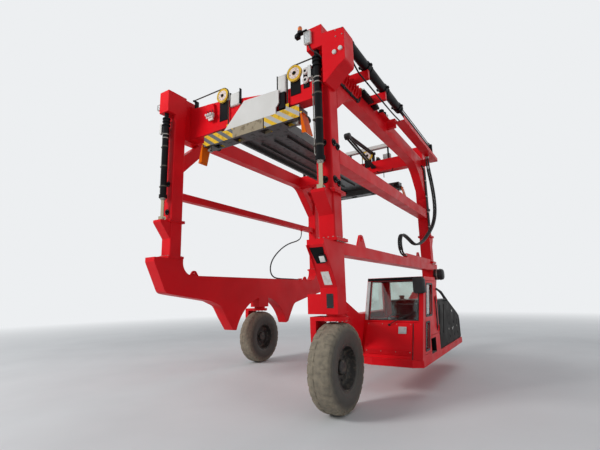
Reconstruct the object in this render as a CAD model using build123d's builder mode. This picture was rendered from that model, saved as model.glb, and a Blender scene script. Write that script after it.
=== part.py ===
"""Container straddle carrier on three steered wheels, for one twenty foot container.

Millimetres, +X forward, +Y to the machine's left (the cab side), +Z up from the ground.
Lateral sizes in this file are measured from the middle of the tunnel that the container
stands in. The helpers below shift them by tunnel_y, which puts the origin under the middle
of the whole machine, because the cab and the power pack hang outboard on the left.
"""
from build123d import *
import math
import os

# Frame
frame_length = 6280          # over the outer faces of the posts, along X
frame_width = 4050           # over the outer faces of the posts, across
post_size = 286              # square section of posts, legs and sleeves
leg_foot_z = 1400            # underside of the left legs
leg_top_z = 2510             # joint between legs or right sill and the lower posts
post_top_z = 3262            # upper face of the lower posts' top flange
flange_over = 52             # flanges stand this far out of the post
flange_thick = 25
corner_radius = 22           # rolled corners of posts and sleeves
fit_gap = 0.3                # between pieces that slide or are set on each other
rest_gap = 5                 # between the lowered sleeves and the posts' top flange

# Telescopic lift of the upper frame
mast_size = 226              # inner mast, fixed in the lower post
sleeve_wall = 12
sleeve_top_z = 5930
mast_top_z = sleeve_top_z - 180
pad_height = 160             # wear pads between mast and sleeve
upper_pad_z = 4150
head_foot_z = sleeve_top_z - 290
head_reach = 200
rod_radius = 35
barrel_radius = 65
barrel_bore = 40
barrel_foot_z = 3740
barrel_top_z = head_foot_z - 120
rod_top_z = barrel_top_z - 270
stem_radius = 45             # neck between barrel and head
cylinder_stand = 120         # cylinder axis in front of the post's outer face
bracket_reach = 240
bracket_drop = 370
bracket_width = 240

# Right sill with the wheel arch
sill_right_top_z = 2150
sill_right_end_z = 1760      # underside at the ends
sill_right_mid_z = 1590      # underside beside the arch
arch_radius = 1130
arch_centre_z = 520
tongue_tip_z = 900
sill_sweep = 270             # radius where its top runs up to the noses
nose_reach = 360
nose_top_z = 2490
nose_lip_z = 2400
nose_foot_z = 1790

# Left side
sill_left_top_z = 2484
sill_left_foot_z = 2290
side_beam_width = 230
girder_width = 240           # low girder on the tunnel side of the left legs
girder_top_z = 1700
girder_foot_z = 1400
girder_low_z = 640
girder_low_top_z = 1330
girder_low_set = 1010        # where it starts to fall, behind the posts' faces
girder_slope_set = 1420

# Upper frame
upper_depth = 350
upper_top_z = sleeve_top_z - 360
upper_foot_z = upper_top_z - upper_depth
cross_front_set = 164        # front cross beam behind the front posts' rear faces
cross_rear_set = 854         # rear cross beam in front of the rear posts' front faces
cross_depth = 250
cross_height = 340
cross_top_z = upper_top_z - 30
cross_foot_z = cross_top_z - cross_height
cross_gusset_z = cross_top_z + 400   # the front cross beam deepens to this at the right
knee_reach = 824             # corner knees of the right-hand upper beam
knee_clear = 440             # they end this far above the tie
mid_beam_foot_z = 3780
mid_beam_top_z = 4020
tie_foot_z = 3780
tie_top_z = 3930
tie_width = 150
knee_drop = upper_foot_z - tie_top_z - knee_clear

# Spreader, hung on chains
spreader_length = 6058
spreader_width = 2438
spreader_ahead = 90          # end beam's front face in front of the front cross beam
spreader_foot_z = cross_foot_z - 330
end_beam_height = 215
end_beam_depth = 300
mast_plate_height = 515
deck_half_width = 620
deck_foot_z = spreader_foot_z + 170
deck_top_z = spreader_foot_z + 300
lock_inset_x = 102.5         # corner fitting's middle from the container's end
lock_inset_y = 89.5
lock_radius = 28
flipper_ahead = 15           # in front of the end beam, clear of the posts when it swings out
flipper_length = 235
flipper_drop = 420           # from its pin to its foot
flipper_lean = 105
flipper_plate = 24
flipper_pin_z = spreader_foot_z + 80
flipper_pin_out = 31         # pin outside the spreader's side
flipper_pin_radius = 12
flipper_knuckle_radius = 22

# Hoist gear
sheave_radius = 160
sheave_width = 40
sheave_bore = 22
groove_depth = 16
sheave_stand = 36            # sheave's middle in front of its cross beam
chain_thick = 14
chain_width = 28
chain_foot_z = spreader_foot_z + end_beam_height + 145
chain_head_z = cross_top_z + 200    # upper end of the falls that lengthen
hoist_radius = 85
hoist_bore = 45
hoist_out = 305              # its axis outside the left posts
hoist_z = upper_top_z + 175
hoist_set_back = 140         # its front end behind the posts' front faces
hoist_length = 2700
hoist_rod_radius = 36
hoist_rod_out = 2700         # rod that shows while the spreader is up
rail_foot_z = upper_top_z - 120
rail_height = 95
rail_half_width = 110
rail_plate = 12
rail_set_in = 240            # its rear end inside the rear posts' faces

# Wheels
tyre_radius = 640
tyre_width = 380
rim_radius = 320
lug_count = 20               # shoulder lugs on each side
lug_gap = 42
lug_width = 85
wheel_set_back = 190         # steering axes of the left wheels behind the posts' faces
mid_wheel_x = 50
knuckle_plate = 58
ring_height = 40
arm_gap = 60
arm_thick = 100
spindle_radius = 70

# Cab and power pack
module_width = 1061
module_rear_x = -1890
base_front_x = 1760
base_foot_z = 480
base_top_z = 600
cab_front_x = 1722           # windscreen plane at the floor
cab_roof_x = 1240            # windscreen plane at the roof
cab_rear_x = 400
cab_roof_z = 1970
cab_wall = 45
glass_thick = 8
pack_top_z = 1530
pack_slope_x = -620
pack_low_z = 1110
guard_rail_radius = 14
guard_rail_stand = 26        # its middle outside the cab's outer face
hub_cap = 20

half_length = frame_length / 2
half_width = frame_width / 2
post_x = half_length - post_size / 2
post_y = half_width - post_size / 2
inner_x = half_length - post_size
inner_y = half_width - post_size
module_y0 = inner_y
module_y1 = module_y0 + module_width

# The machine reaches from the guard rail on the left to the middle wheel's hub on the right.
left_reach = module_y1 + guard_rail_stand + guard_rail_radius
right_reach = post_y + tyre_width / 2 + arm_gap + arm_thick + hub_cap
tunnel_y = -(left_reach - right_reach) / 2

beam_inner_y = half_width - side_beam_width
bracket_foot_z = post_top_z - bracket_drop
sleeve_foot_z = post_top_z + rest_gap
cylinder_x = half_length + cylinder_stand
wheel_x = half_length - wheel_set_back
girder_low_end = half_length - girder_low_set
girder_slope_end = half_length - girder_slope_set
cross_front_x = inner_x - cross_front_set
cross_rear_x = cross_rear_set - inner_x
hoist_y = half_width + hoist_out
hoist_front_x = half_length - hoist_set_back
hoist_rear_x = hoist_front_x - hoist_length
hoist_rod_end_x = hoist_rear_x - hoist_rod_out
rail_lip_z = rail_foot_z + rail_height
spreader_front_x = cross_front_x + spreader_ahead
flipper_front_x = spreader_front_x + flipper_ahead
flipper_pin_y = spreader_width / 2 + flipper_pin_out
chain_out = sheave_radius + chain_thick / 2 + fit_gap


def block(x0, x1, y0, y1, z0, z1, mode=Mode.ADD):
    """Add a box between the given faces to the part being made."""
    with Locations(((x0 + x1) / 2, (y0 + y1) / 2 + tunnel_y, (z0 + z1) / 2)):
        Box(abs(x1 - x0), abs(y1 - y0), abs(z1 - z0), mode=mode)


def column(x, y, size, z0, z1):
    """Add an upright square section with rolled corners."""
    with BuildSketch(Plane(origin=(x, y + tunnel_y, z0))) as section:
        RectangleRounded(size, size, corner_radius)
    extrude(section.sketch, amount=z1 - z0)


def rounded_outline(plane, points):
    """Face of a closed outline; a point's third value is the radius of its corner."""
    with BuildSketch(plane) as outline:
        with BuildLine():
            Polyline(*[point[:2] for point in points], close=True)
        make_face()
        for across, up, *radius in points:
            if radius:
                corner = outline.vertices().sort_by_distance((across, up, 0))[0]
                fillet(corner, radius=radius[0])
    return outline.sketch


def side_plate(points, y0, y1, mode=Mode.ADD):
    """Extrude an outline of (x, z) points from y0 to y1."""
    plane = Plane(origin=(0, y1 + tunnel_y, 0), x_dir=(1, 0, 0), z_dir=(0, -1, 0))
    extrude(rounded_outline(plane, points), amount=y1 - y0, mode=mode)


def cross_plate(points, x0, x1, mode=Mode.ADD):
    """Extrude an outline of (y, z) points from x0 to x1."""
    plane = Plane(origin=(x0, tunnel_y, 0), x_dir=(0, 1, 0), z_dir=(1, 0, 0))
    extrude(rounded_outline(plane, points), amount=x1 - x0, mode=mode)


def level_plate(points, z0, z1, mode=Mode.ADD):
    """Extrude an outline of (x, y) points from z0 to z1."""
    with BuildSketch(Plane(origin=(0, tunnel_y, z0))) as outline:
        with BuildLine():
            Polyline(*points, close=True)
        make_face()
    extrude(outline.sketch, amount=z1 - z0, mode=mode)


def rod(x, y, z, length, radius, along, mode=Mode.ADD):
    """Add a round bar that starts at a point and runs along a direction."""
    plane = Plane(origin=(x, y + tunnel_y, z), z_dir=along)
    with BuildSketch(plane) as section:
        Circle(radius)
    extrude(section.sketch, amount=length, mode=mode)


def tube(points, radius, bend):
    """Sweep a round bar along straight runs joined by arcs of one radius."""
    with BuildLine() as path:
        FilletPolyline(*[(x, y + tunnel_y, z) for x, y, z in points], radius=bend)
    with BuildSketch(Plane(origin=path.line @ 0, z_dir=path.line % 0)) as section:
        Circle(radius)
    sweep(section.sketch, path=path.line)


def hose(points, radius):
    """Sweep a hose along straight runs, with arcs as large as the runs beside them allow."""
    route = [Vector(x, y + tunnel_y, z) for x, y, z in points]
    bends = []
    for before, here, after in zip(route, route[1:], route[2:]):
        turn = math.radians((here - before).get_angle(after - here))
        shorter = min((here - before).length, (after - here).length)
        bends.append(0.45 * shorter / math.tan(turn / 2))
    with BuildLine() as path:
        FilletPolyline(*route, radius=bends)
    with BuildSketch(Plane(origin=path.line @ 0, z_dir=path.line % 0)) as section:
        Circle(radius)
    sweep(section.sketch, path=path.line)
    length = sum(edge.length for edge in path.line.edges())
    print("hose", round(length), "mm long, bends", [round(bend) for bend in bends])


def flange(x, y, side, z0, z1):
    """Add a post's flange plate, narrower towards the tunnel so the corner guides pass it."""
    r = post_size / 2
    near, far = y - side * (r + 25), y + side * (r + flange_over)
    block(x - r - flange_over, x + r + flange_over, min(near, far), max(near, far), z0, z1)


def finish(solid, name):
    """Label a finished piece and write it."""
    solid.label = name
    export_step(solid, f"parts/{name}.step")


os.makedirs("parts", exist_ok=True)

# Columns: name, which end (+1 front), which side (+1 left), top of the sleeve's head
corners = [
    ("front_left", 1, 1, sleeve_top_z + 100),
    ("front_right", 1, -1, sleeve_top_z + 200),
    ("rear_left", -1, 1, sleeve_top_z + 80),
    ("rear_right", -1, -1, sleeve_top_z + 80),
]

# Sheaves. Columns: front face of a cross beam, y, z, side on which the chain hangs
sheave_table = [
    (cross_front_x, 1100, cross_top_z + 260, -1),
    (cross_front_x, -740, cross_top_z + 400, 1),
    (cross_rear_x, 640, cross_top_z + 200, -1),
    (cross_rear_x, -640, cross_top_z + 200, 1),
]


# Lower posts, each with its inner mast and the bracket that holds the lift rod
for name, end, side, head_top_z in corners:
    with BuildPart() as post:
        x, y = end * post_x, side * post_y
        r = post_size / 2
        flange(x, y, side, leg_top_z + fit_gap, leg_top_z + flange_thick)
        column(x, y, post_size, leg_top_z + fit_gap, post_top_z)
        flange(x, y, side, post_top_z - flange_thick, post_top_z)
        m = mast_size / 2
        block(x - m, x + m, y - m, y + m, post_top_z, mast_top_z)
        face = end * half_length
        tip = end * (half_length + bracket_reach)
        side_plate(
            [
                (face, post_top_z),
                (tip, post_top_z),
                (tip, post_top_z - 2 * flange_thick),
                (face, bracket_foot_z),
            ],
            y - bracket_width / 2,
            y + bracket_width / 2,
        )
    finish(post.part, f"post_{name}")

# Lift rods stand on the brackets and run up into the barrels.
with BuildPart() as lift_rods:
    for name, end, side, head_top_z in corners:
        rod(end * cylinder_x, side * post_y, post_top_z + fit_gap,
            rod_top_z - post_top_z - fit_gap, rod_radius, (0, 0, 1))
        block(end * cylinder_x - 55, end * cylinder_x + 55, side * post_y - 48,
              side * post_y + 48, post_top_z + fit_gap, post_top_z + 85)
finish(lift_rods.part, "lift_rods")

# Sleeves slide on the masts, closed on top by the heads.
for name, end, side, head_top_z in corners:
    with BuildPart() as sleeve:
        x, y = end * post_x, side * post_y
        r = post_size / 2
        hollow = r - sleeve_wall
        column(x, y, post_size, sleeve_foot_z, sleeve_top_z)
        flange(x, y, side, sleeve_foot_z, sleeve_foot_z + flange_thick)
        block(x - hollow, x + hollow, y - hollow, y + hollow,
              sleeve_foot_z, sleeve_top_z - flange_thick, mode=Mode.SUBTRACT)
        m = mast_size / 2 + fit_gap
        for pad_z in (sleeve_foot_z + flange_thick, upper_pad_z):
            block(x - hollow, x + hollow, y - hollow, y + hollow, pad_z, pad_z + pad_height)
            block(x - m, x + m, y - m, y + m, pad_z, pad_z + pad_height, mode=Mode.SUBTRACT)
        out = end * half_length
        block(out - end * post_size, out + end * head_reach, y - r, y + r,
              head_foot_z, head_top_z)
        block(x - hollow, x + hollow, y - hollow, y + hollow,
              head_foot_z - 100, sleeve_top_z - flange_thick, mode=Mode.SUBTRACT)
        if end > 0 and side < 0:
            block(cross_front_x - cross_depth, out - post_size, -half_width,
                  -beam_inner_y, upper_top_z + fit_gap, head_top_z)
        if end > 0 and side > 0:
            block(hoist_front_x - 10, hoist_front_x + 100, half_width - 1,
                  hoist_y - hoist_radius - fit_gap, head_foot_z, hoist_z + 105)
            cross_plate(
                [
                    (half_width - 1, hoist_z - 760),
                    (half_width + 40, hoist_z - 760),
                    (hoist_y - 40, hoist_z - 570, 120),
                    (hoist_y + 90, hoist_z - 490, 60),
                    (hoist_y + 90, hoist_z + 60, 20),
                    (half_width + 60, hoist_z + 105),
                    (half_width - 1, hoist_z + 105),
                ],
                hoist_front_x + fit_gap,
                out + head_reach,
            )
    finish(sleeve.part, f"sleeve_{name}")

# Barrels hang from the heads over the rods.
with BuildPart() as lift_barrels:
    for name, end, side, head_top_z in corners:
        x, y = end * cylinder_x, side * post_y
        rod(x, y, barrel_foot_z, barrel_top_z - barrel_foot_z, barrel_radius, (0, 0, 1))
        for band_z, band_height in ((barrel_foot_z, 70), (barrel_top_z - 170, 22),
                                    (barrel_top_z - 90, 22), (barrel_top_z - 25, 25)):
            rod(x, y, band_z, band_height, barrel_radius + 18, (0, 0, 1))
        block(x - 35, x + 35, y - barrel_radius - 34, y, barrel_top_z - 300, barrel_top_z - 190)
        rod(x, y, barrel_top_z, head_foot_z - barrel_top_z - fit_gap, stem_radius, (0, 0, 1))
        rod(x, y, barrel_foot_z, rod_top_z - barrel_foot_z + 20, barrel_bore, (0, 0, 1),
            mode=Mode.SUBTRACT)
finish(lift_barrels.part, "lift_barrels")

# Routes of the hoses that bridge the telescopic lift, from the upper frame to the sills
hose_radius = 20
hose_apart = 26              # half of the distance between the two hoses on the left
route_left = [
    (-2160, 2305, 5400),
    (-2160, 2305, 5100),
    (-2420, 2305, 4760),
    (-2640, 2300, 4330),
    (-2640, 2290, 3860),
    (-2360, 2260, 3480),
    (-1960, 2200, 3180),
    (-1560, 2110, 2920),
    (-1200, 2030, 2840),
    (-900, 1985, 2960),
    (-600, 1976, 3025),
    (-330, 1976, 3010),
    (-191, 1976, 2876),
    (-191, 1976, 2686),
    (-325, 1976, 2540),
    (-520, 1976, 2540),
]
hose_right_radius = 15
route_right = [
    (-2160, -1880, 3750),
    (-2160, -1880, 3540),
    (-1890, -1880, 3390),
    (-1500, -1880, 3290),
    (-1150, -1880, 3150),
    (-820, -1880, 2950),
    (-570, -1880, 2740),
    (-440, -1880, 2530),
    (-440, -1880, 2330),
    (-580, -1880, 2200),
    (-860, -1880, 2168),
    (-1230, -1862, 2168),
    (-1600, -1880, 2168),
    (-1960, -1880, 2168),
]

# Right sill: one deep girder from nose to nose, with an arch over the middle wheel
arch_front_x = mid_wheel_x + 1050
arch_rear_x = mid_wheel_x - 1000
with BuildPart() as sill_right:
    side_plate(
        [
            (half_length + nose_reach, nose_top_z),
            (half_length + nose_reach, nose_lip_z),
            (half_length + 60, nose_foot_z, 120),
            (half_length - 80, sill_right_end_z, 200),
            (mid_wheel_x + 1910, sill_right_mid_z + 10, 400),
            (mid_wheel_x + 1600, sill_right_mid_z - 110, 250),
            (mid_wheel_x + 1410, tongue_tip_z + 300, 500),
            (mid_wheel_x + 1180, tongue_tip_z),
            (arch_front_x - 60, tongue_tip_z - 20),
            (arch_rear_x + 40, tongue_tip_z - 20),
            (mid_wheel_x - 1160, tongue_tip_z + 60),
            (mid_wheel_x - 1310, tongue_tip_z + 300, 400),
            (mid_wheel_x - 1490, sill_right_mid_z - 140, 250),
            (mid_wheel_x - 2140, sill_right_mid_z, 400),
            (-half_length + 80, sill_right_end_z, 200),
            (-half_length - 60, nose_foot_z, 120),
            (-half_length - nose_reach, nose_lip_z),
            (-half_length - nose_reach, nose_top_z),
            (-inner_x + 60, nose_top_z),
            (-inner_x + 60, sill_right_top_z, sill_sweep),
            (inner_x - 60, sill_right_top_z, sill_sweep),
            (inner_x - 60, nose_top_z),
        ],
        -half_width,
        -inner_y,
    )
    rod(mid_wheel_x, -inner_y + 10, arch_centre_z, post_size + 20, arch_radius,
        (0, -1, 0), mode=Mode.SUBTRACT)
    for end in (1, -1):
        flange(end * post_x, -post_y, -1, leg_top_z - flange_thick, leg_top_z)
    block(mid_wheel_x - 200, mid_wheel_x + 200, -half_width, -inner_y,
          leg_foot_z, arch_centre_z + arch_radius + 20)
    rod(mid_wheel_x, -post_y, leg_foot_z - ring_height, ring_height, 140, (0, 0, 1))
    gland_x = route_right[-1][0]
    block(gland_x - 100, gland_x, route_right[-1][1] - 50, route_right[-1][1] + 50,
          sill_right_top_z - 1, sill_right_top_z + 50)
finish(sill_right.part, "sill_right")

# Left legs with their noses and slewing rings
for name, end, side, head_top_z in corners:
    if side < 0:
        continue
    with BuildPart() as leg:
        x, y = end * post_x, post_y
        r = post_size / 2
        block(x - r, x + r, y - r, y + r, leg_foot_z, leg_top_z)
        block(end * (wheel_x - 160), end * half_length, y - r, y + r, leg_foot_z,
              leg_foot_z + flange_thick)
        flange(x, y, 1, leg_top_z - flange_thick, leg_top_z)
        face = end * half_length
        side_plate(
            [
                (face, nose_top_z - 10),
                (face + end * nose_reach, nose_top_z - 10),
                (face + end * nose_reach, nose_lip_z),
                (face, nose_foot_z),
            ],
            y - r,
            y + r,
        )
        rod(end * wheel_x, post_y, leg_foot_z - ring_height, ring_height, 140, (0, 0, 1))
    finish(leg.part, f"leg_{name}")

# Left sill between the legs
with BuildPart() as sill_left:
    block(-inner_x + fit_gap, inner_x - fit_gap, half_width - side_beam_width, half_width,
          sill_left_foot_z, sill_left_top_z)
    block(-inner_x + 120, route_left[-1][0], half_width - 96, half_width - 1,
          sill_left_top_z - 1, sill_left_top_z + 100)
finish(sill_left.part, "sill_left")

# Low girder on the tunnel side of the left legs; it carries the cab and the power pack
with BuildPart() as girder:
    side_plate(
        [
            (half_length - 20, girder_top_z),
            (half_length - 20, girder_foot_z),
            (girder_low_end + 160, girder_foot_z),
            (girder_low_end, girder_foot_z - 160),
            (girder_slope_end, girder_low_z),
            (-girder_slope_end, girder_low_z),
            (-girder_low_end, girder_foot_z - 160),
            (-girder_low_end - 160, girder_foot_z),
            (-half_length + 20, girder_foot_z),
            (-half_length + 20, girder_top_z),
            (-girder_low_end - 450, girder_top_z),
            (-girder_slope_end, girder_low_top_z),
            (girder_slope_end, girder_low_top_z),
            (girder_low_end + 450, girder_top_z),
        ],
        inner_y - fit_gap - girder_width,
        inner_y - fit_gap,
    )
finish(girder.part, "girder_left")

# Lifting lugs on both sills. Columns: x, side, foot z, eye z, top z, half width, eye radius
lug_table = [
    (inner_x - 954, 1, sill_left_top_z, sill_left_top_z + 171, sill_left_top_z + 246, 210, 32),
    (954 - inner_x, 1, sill_left_top_z, sill_left_top_z + 171, sill_left_top_z + 246, 210, 32),
    (inner_x - 514, -1, sill_right_top_z, sill_right_top_z + 65, sill_right_top_z + 120, 130, 20),
    (514 - inner_x, -1, sill_right_top_z, sill_right_top_z + 65, sill_right_top_z + 120, 130, 20),
]
with BuildPart() as lugs:
    for x, side, foot_z, eye_z, top_z, half_base, eye_radius in lug_table:
        y = side * (half_width - side_beam_width / 2)
        side_plate(
            [
                (x - half_base, foot_z + fit_gap),
                (x + half_base, foot_z + fit_gap),
                (x + top_z - eye_z, top_z - 15),
                (x + 20, top_z),
                (x - 20, top_z),
                (x - top_z + eye_z, top_z - 15),
            ],
            y - 15,
            y + 15,
        )
        rod(x, y - 20, eye_z, 40, eye_radius, (0, 1, 0), mode=Mode.SUBTRACT)
finish(lugs.part, "lifting_lugs")

# Base tray under the cab and the power pack
with BuildPart() as base_tray:
    level_plate(
        [
            (module_rear_x, module_y0),
            (base_front_x - 60, module_y0),
            (base_front_x, module_y0 + 200),
            (base_front_x, module_y1 - 160),
            (base_front_x - 90, module_y1),
            (module_rear_x, module_y1),
        ],
        base_foot_z,
        base_top_z,
    )
    block(module_rear_x + 60, base_front_x - 160, module_y0 + 60, module_y1 - 60,
          base_foot_z, base_top_z - 20, mode=Mode.SUBTRACT)
finish(base_tray.part, "base_tray")

# Cab shell: a raked box with its windows and door opening cut out
rake = (cab_front_x - cab_roof_x) / (cab_roof_z - base_top_z)


def front_at(z):
    """X of the windscreen plane at a height."""
    return cab_front_x - rake * (z - base_top_z)


cab_floor_z = base_top_z + fit_gap
window_foot_z = base_top_z + 615
window_top_z = cab_roof_z - 70
screen_frame = 90            # corner posts beside the windscreen
rear_frame = 150
door_front_gap = 130
pane_frame = 45              # door frame in front of its panes
door_rear_x = cab_rear_x + 70
door_foot_z = cab_floor_z + 60
door_gap = 8
hinge_stand = 12             # hinge axis outside the cab's outer face
hinge_radius = 10
hinge_leaf = 60
hinge_table = [base_top_z + 410, cab_roof_z - 410]    # heights of the hinges
step_foot_z = cab_floor_z
step_top_z = base_top_z + 290
step_rear_x = cab_rear_x + 300
step_front_x = cab_rear_x + 700
step_depth = 130


def door_outline(inset):
    """Outline of the door: raked front edge, and its lower rear corner cut away at the step."""
    foot_z, top_z = door_foot_z + inset, window_top_z - inset
    return [
        (step_front_x + 30 + inset, foot_z),
        (front_at(foot_z) - door_front_gap - inset, foot_z),
        (front_at(top_z) - door_front_gap - inset, top_z),
        (door_rear_x + inset, top_z),
        (door_rear_x + inset, step_top_z + 30 + inset),
        (step_front_x + 30 + inset, step_top_z + 30 + inset),
    ]


with BuildPart() as cab:
    side_plate(
        [
            (cab_rear_x, cab_floor_z),
            (front_at(cab_floor_z), cab_floor_z),
            (front_at(cab_roof_z), cab_roof_z),
            (cab_rear_x, cab_roof_z),
        ],
        module_y0,
        module_y1,
    )
    side_plate(
        [
            (cab_rear_x + cab_wall, cab_floor_z + cab_wall),
            (front_at(cab_floor_z + cab_wall) - cab_wall, cab_floor_z + cab_wall),
            (front_at(cab_roof_z - cab_wall) - cab_wall, cab_roof_z - cab_wall),
            (cab_rear_x + cab_wall, cab_roof_z - cab_wall),
        ],
        module_y0 + cab_wall,
        module_y1 - cab_wall,
        mode=Mode.SUBTRACT,
    )
    block(cab_roof_x - 200, cab_front_x, module_y0 + screen_frame, module_y1 - screen_frame,
          window_foot_z, window_top_z, mode=Mode.SUBTRACT)
    side_plate(
        [
            (cab_rear_x + 120, window_foot_z),
            (front_at(window_foot_z) - door_front_gap, window_foot_z),
            (front_at(window_top_z) - door_front_gap, window_top_z),
            (cab_rear_x + 120, window_top_z),
        ],
        module_y0 - 10,
        module_y0 + cab_wall + 10,
        mode=Mode.SUBTRACT,
    )
    block(cab_rear_x - 10, cab_rear_x + cab_wall + 10, module_y0 + rear_frame,
          module_y1 - rear_frame, window_foot_z, window_top_z, mode=Mode.SUBTRACT)
    side_plate(door_outline(0), module_y1 - cab_wall - 10, module_y1 + 10, mode=Mode.SUBTRACT)
    block(step_rear_x, step_front_x, module_y1 - step_depth, module_y1, step_foot_z,
          step_top_z)
    block(step_rear_x + 20, step_front_x - 20, module_y1 - step_depth + 12, module_y1 + 10,
          step_foot_z + 15, step_top_z - 15, mode=Mode.SUBTRACT)
    hood_low_z, hood_high_z = cab_floor_z + 60, window_foot_z - 40
    side_plate(
        [
            (front_at(hood_low_z) - 20, hood_low_z),
            (front_at(hood_low_z) + 10, hood_low_z),
            (front_at(hood_low_z) + 45, hood_low_z + 90, 60),
            (front_at(hood_high_z) + 45, hood_high_z - 60, 60),
            (front_at(hood_high_z) + 5, hood_high_z),
            (front_at(hood_high_z) - 20, hood_high_z),
        ],
        module_y0 + 60,
        module_y1 - 175,
    )
    for z in hinge_table:
        rod(door_rear_x, module_y1 + hinge_stand, z + fit_gap, hinge_leaf, hinge_radius, (0, 0, 1))
        block(door_rear_x - hinge_leaf, door_rear_x, module_y1 - 2, module_y1 + hinge_stand,
              z + fit_gap, z + hinge_leaf)
finish(cab.part, "cab_shell")

# Cab door with its two panes cut, hinged at the rear edge
# Columns: foot, top, width
door_panes = [
    (window_foot_z + 60, window_top_z - 60, 430),
    (door_foot_z + 60, window_foot_z - 40, 270),
]


def pane_outline(low_z, high_z, width, inset):
    """Outline of a door pane with both edges along the rake, shrunk by an inset."""
    reach = door_front_gap + pane_frame + inset
    rear = door_front_gap + pane_frame + width - inset
    return [
        (front_at(low_z) - rear, low_z + inset),
        (front_at(low_z) - reach, low_z + inset),
        (front_at(high_z) - reach, high_z - inset),
        (front_at(high_z) - rear, high_z - inset),
    ]


with BuildPart() as door:
    side_plate(door_outline(door_gap), module_y1 - cab_wall, module_y1)
    for low_z, high_z, width in door_panes:
        side_plate(pane_outline(low_z, high_z, width, 0), module_y1 - cab_wall - 10,
                   module_y1 + 10, mode=Mode.SUBTRACT)
    for z in hinge_table:
        rod(door_rear_x, module_y1 + hinge_stand, z - hinge_leaf, hinge_leaf, hinge_radius,
            (0, 0, 1))
        block(door_rear_x, door_rear_x + hinge_leaf, module_y1 - 2, module_y1 + hinge_stand,
              z - hinge_leaf, z)
finish(door.part, "cab_door")

with BuildPart() as door_glass:
    for low_z, high_z, width in door_panes:
        side_plate(pane_outline(low_z, high_z, width, 2 * fit_gap), module_y1 - 26,
                   module_y1 - 26 + glass_thick)
finish(door_glass.part, "door_glass")

with BuildPart() as cab_glass:
    low_z, high_z = window_foot_z + fit_gap, window_top_z - fit_gap
    side_plate(
        [
            (front_at(low_z) - 24, low_z),
            (front_at(low_z) - 24 + glass_thick, low_z),
            (front_at(high_z) - 24 + glass_thick, high_z),
            (front_at(high_z) - 24, high_z),
        ],
        module_y0 + screen_frame + fit_gap,
        module_y1 - screen_frame - fit_gap,
    )
    side_plate(
        [
            (cab_rear_x + 120 + fit_gap, low_z),
            (front_at(low_z) - door_front_gap - fit_gap, low_z),
            (front_at(high_z) - door_front_gap - fit_gap, high_z),
            (cab_rear_x + 120 + fit_gap, high_z),
        ],
        module_y0 + 18,
        module_y0 + 18 + glass_thick,
    )
    block(cab_rear_x + 18, cab_rear_x + 18 + glass_thick, module_y0 + rear_frame + fit_gap,
          module_y1 - rear_frame - fit_gap, low_z, high_z)
finish(cab_glass.part, "cab_glass")

# Driver's seat and console
cab_mid_y = (module_y0 + module_y1) / 2
seat_foot_z = cab_floor_z + cab_wall + fit_gap
seat_rear_x = cab_rear_x + 140
seat_depth = 440
seat_width = 480
cushion_height = 115
seat_back_height = 555
with BuildPart() as seat:
    cushion_z = seat_foot_z + 170
    block(seat_rear_x + 80, seat_rear_x + 320, cab_mid_y - 130, cab_mid_y + 130,
          seat_foot_z, cushion_z + 5)
    block(seat_rear_x, seat_rear_x + seat_depth, cab_mid_y - seat_width / 2,
          cab_mid_y + seat_width / 2, cushion_z, cushion_z + cushion_height)
    back_foot_z = cushion_z + cushion_height - 5
    side_plate(
        [
            (seat_rear_x, back_foot_z),
            (seat_rear_x + 110, back_foot_z),
            (seat_rear_x + 20, back_foot_z + seat_back_height),
            (seat_rear_x - 60, back_foot_z + seat_back_height),
        ],
        cab_mid_y - seat_width / 2 + 20,
        cab_mid_y + seat_width / 2 - 20,
    )
finish(seat.part, "cab_seat")
with BuildPart() as console:
    side_plate(
        [
            (cab_front_x - 422, seat_foot_z),
            (cab_front_x - 302, seat_foot_z),
            (cab_front_x - 322, window_foot_z - 155),
            (cab_front_x - 482, window_foot_z - 85),
            (cab_front_x - 492, window_foot_z - 135),
        ],
        cab_mid_y - 180,
        cab_mid_y + 180,
    )
finish(console.part, "cab_console")

# Mirror in front of the windscreen and guard rail along the power pack
with BuildPart() as fittings:
    mirror_z = cab_roof_z - 290
    mirror_x = front_at(mirror_z) + 20
    block(mirror_x, mirror_x + 40, module_y1 - 160, module_y1, mirror_z, mirror_z + 270)
    block(front_at(mirror_z + 120) + fit_gap, mirror_x + 10, module_y1 - 70, module_y1 - 40,
          mirror_z + 120, mirror_z + 150)
    guard_y = module_y1 + guard_rail_stand
    tube(
        [
            (cab_rear_x + 40, guard_y, pack_top_z + 220),
            (cab_rear_x - 340, guard_y, pack_top_z + 160),
            (cab_rear_x - 864, guard_y, pack_top_z - 35),
        ],
        guard_rail_radius,
        150,
    )
    rod(cab_rear_x + 20, module_y1 + fit_gap, pack_top_z + 217, guard_rail_stand, 10, (0, 1, 0))
    rod(cab_rear_x - 830, module_y1 - 20 + fit_gap, pack_top_z - 23, guard_rail_stand + 20, 10,
        (0, 1, 0))
finish(fittings.part, "cab_fittings")

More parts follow.
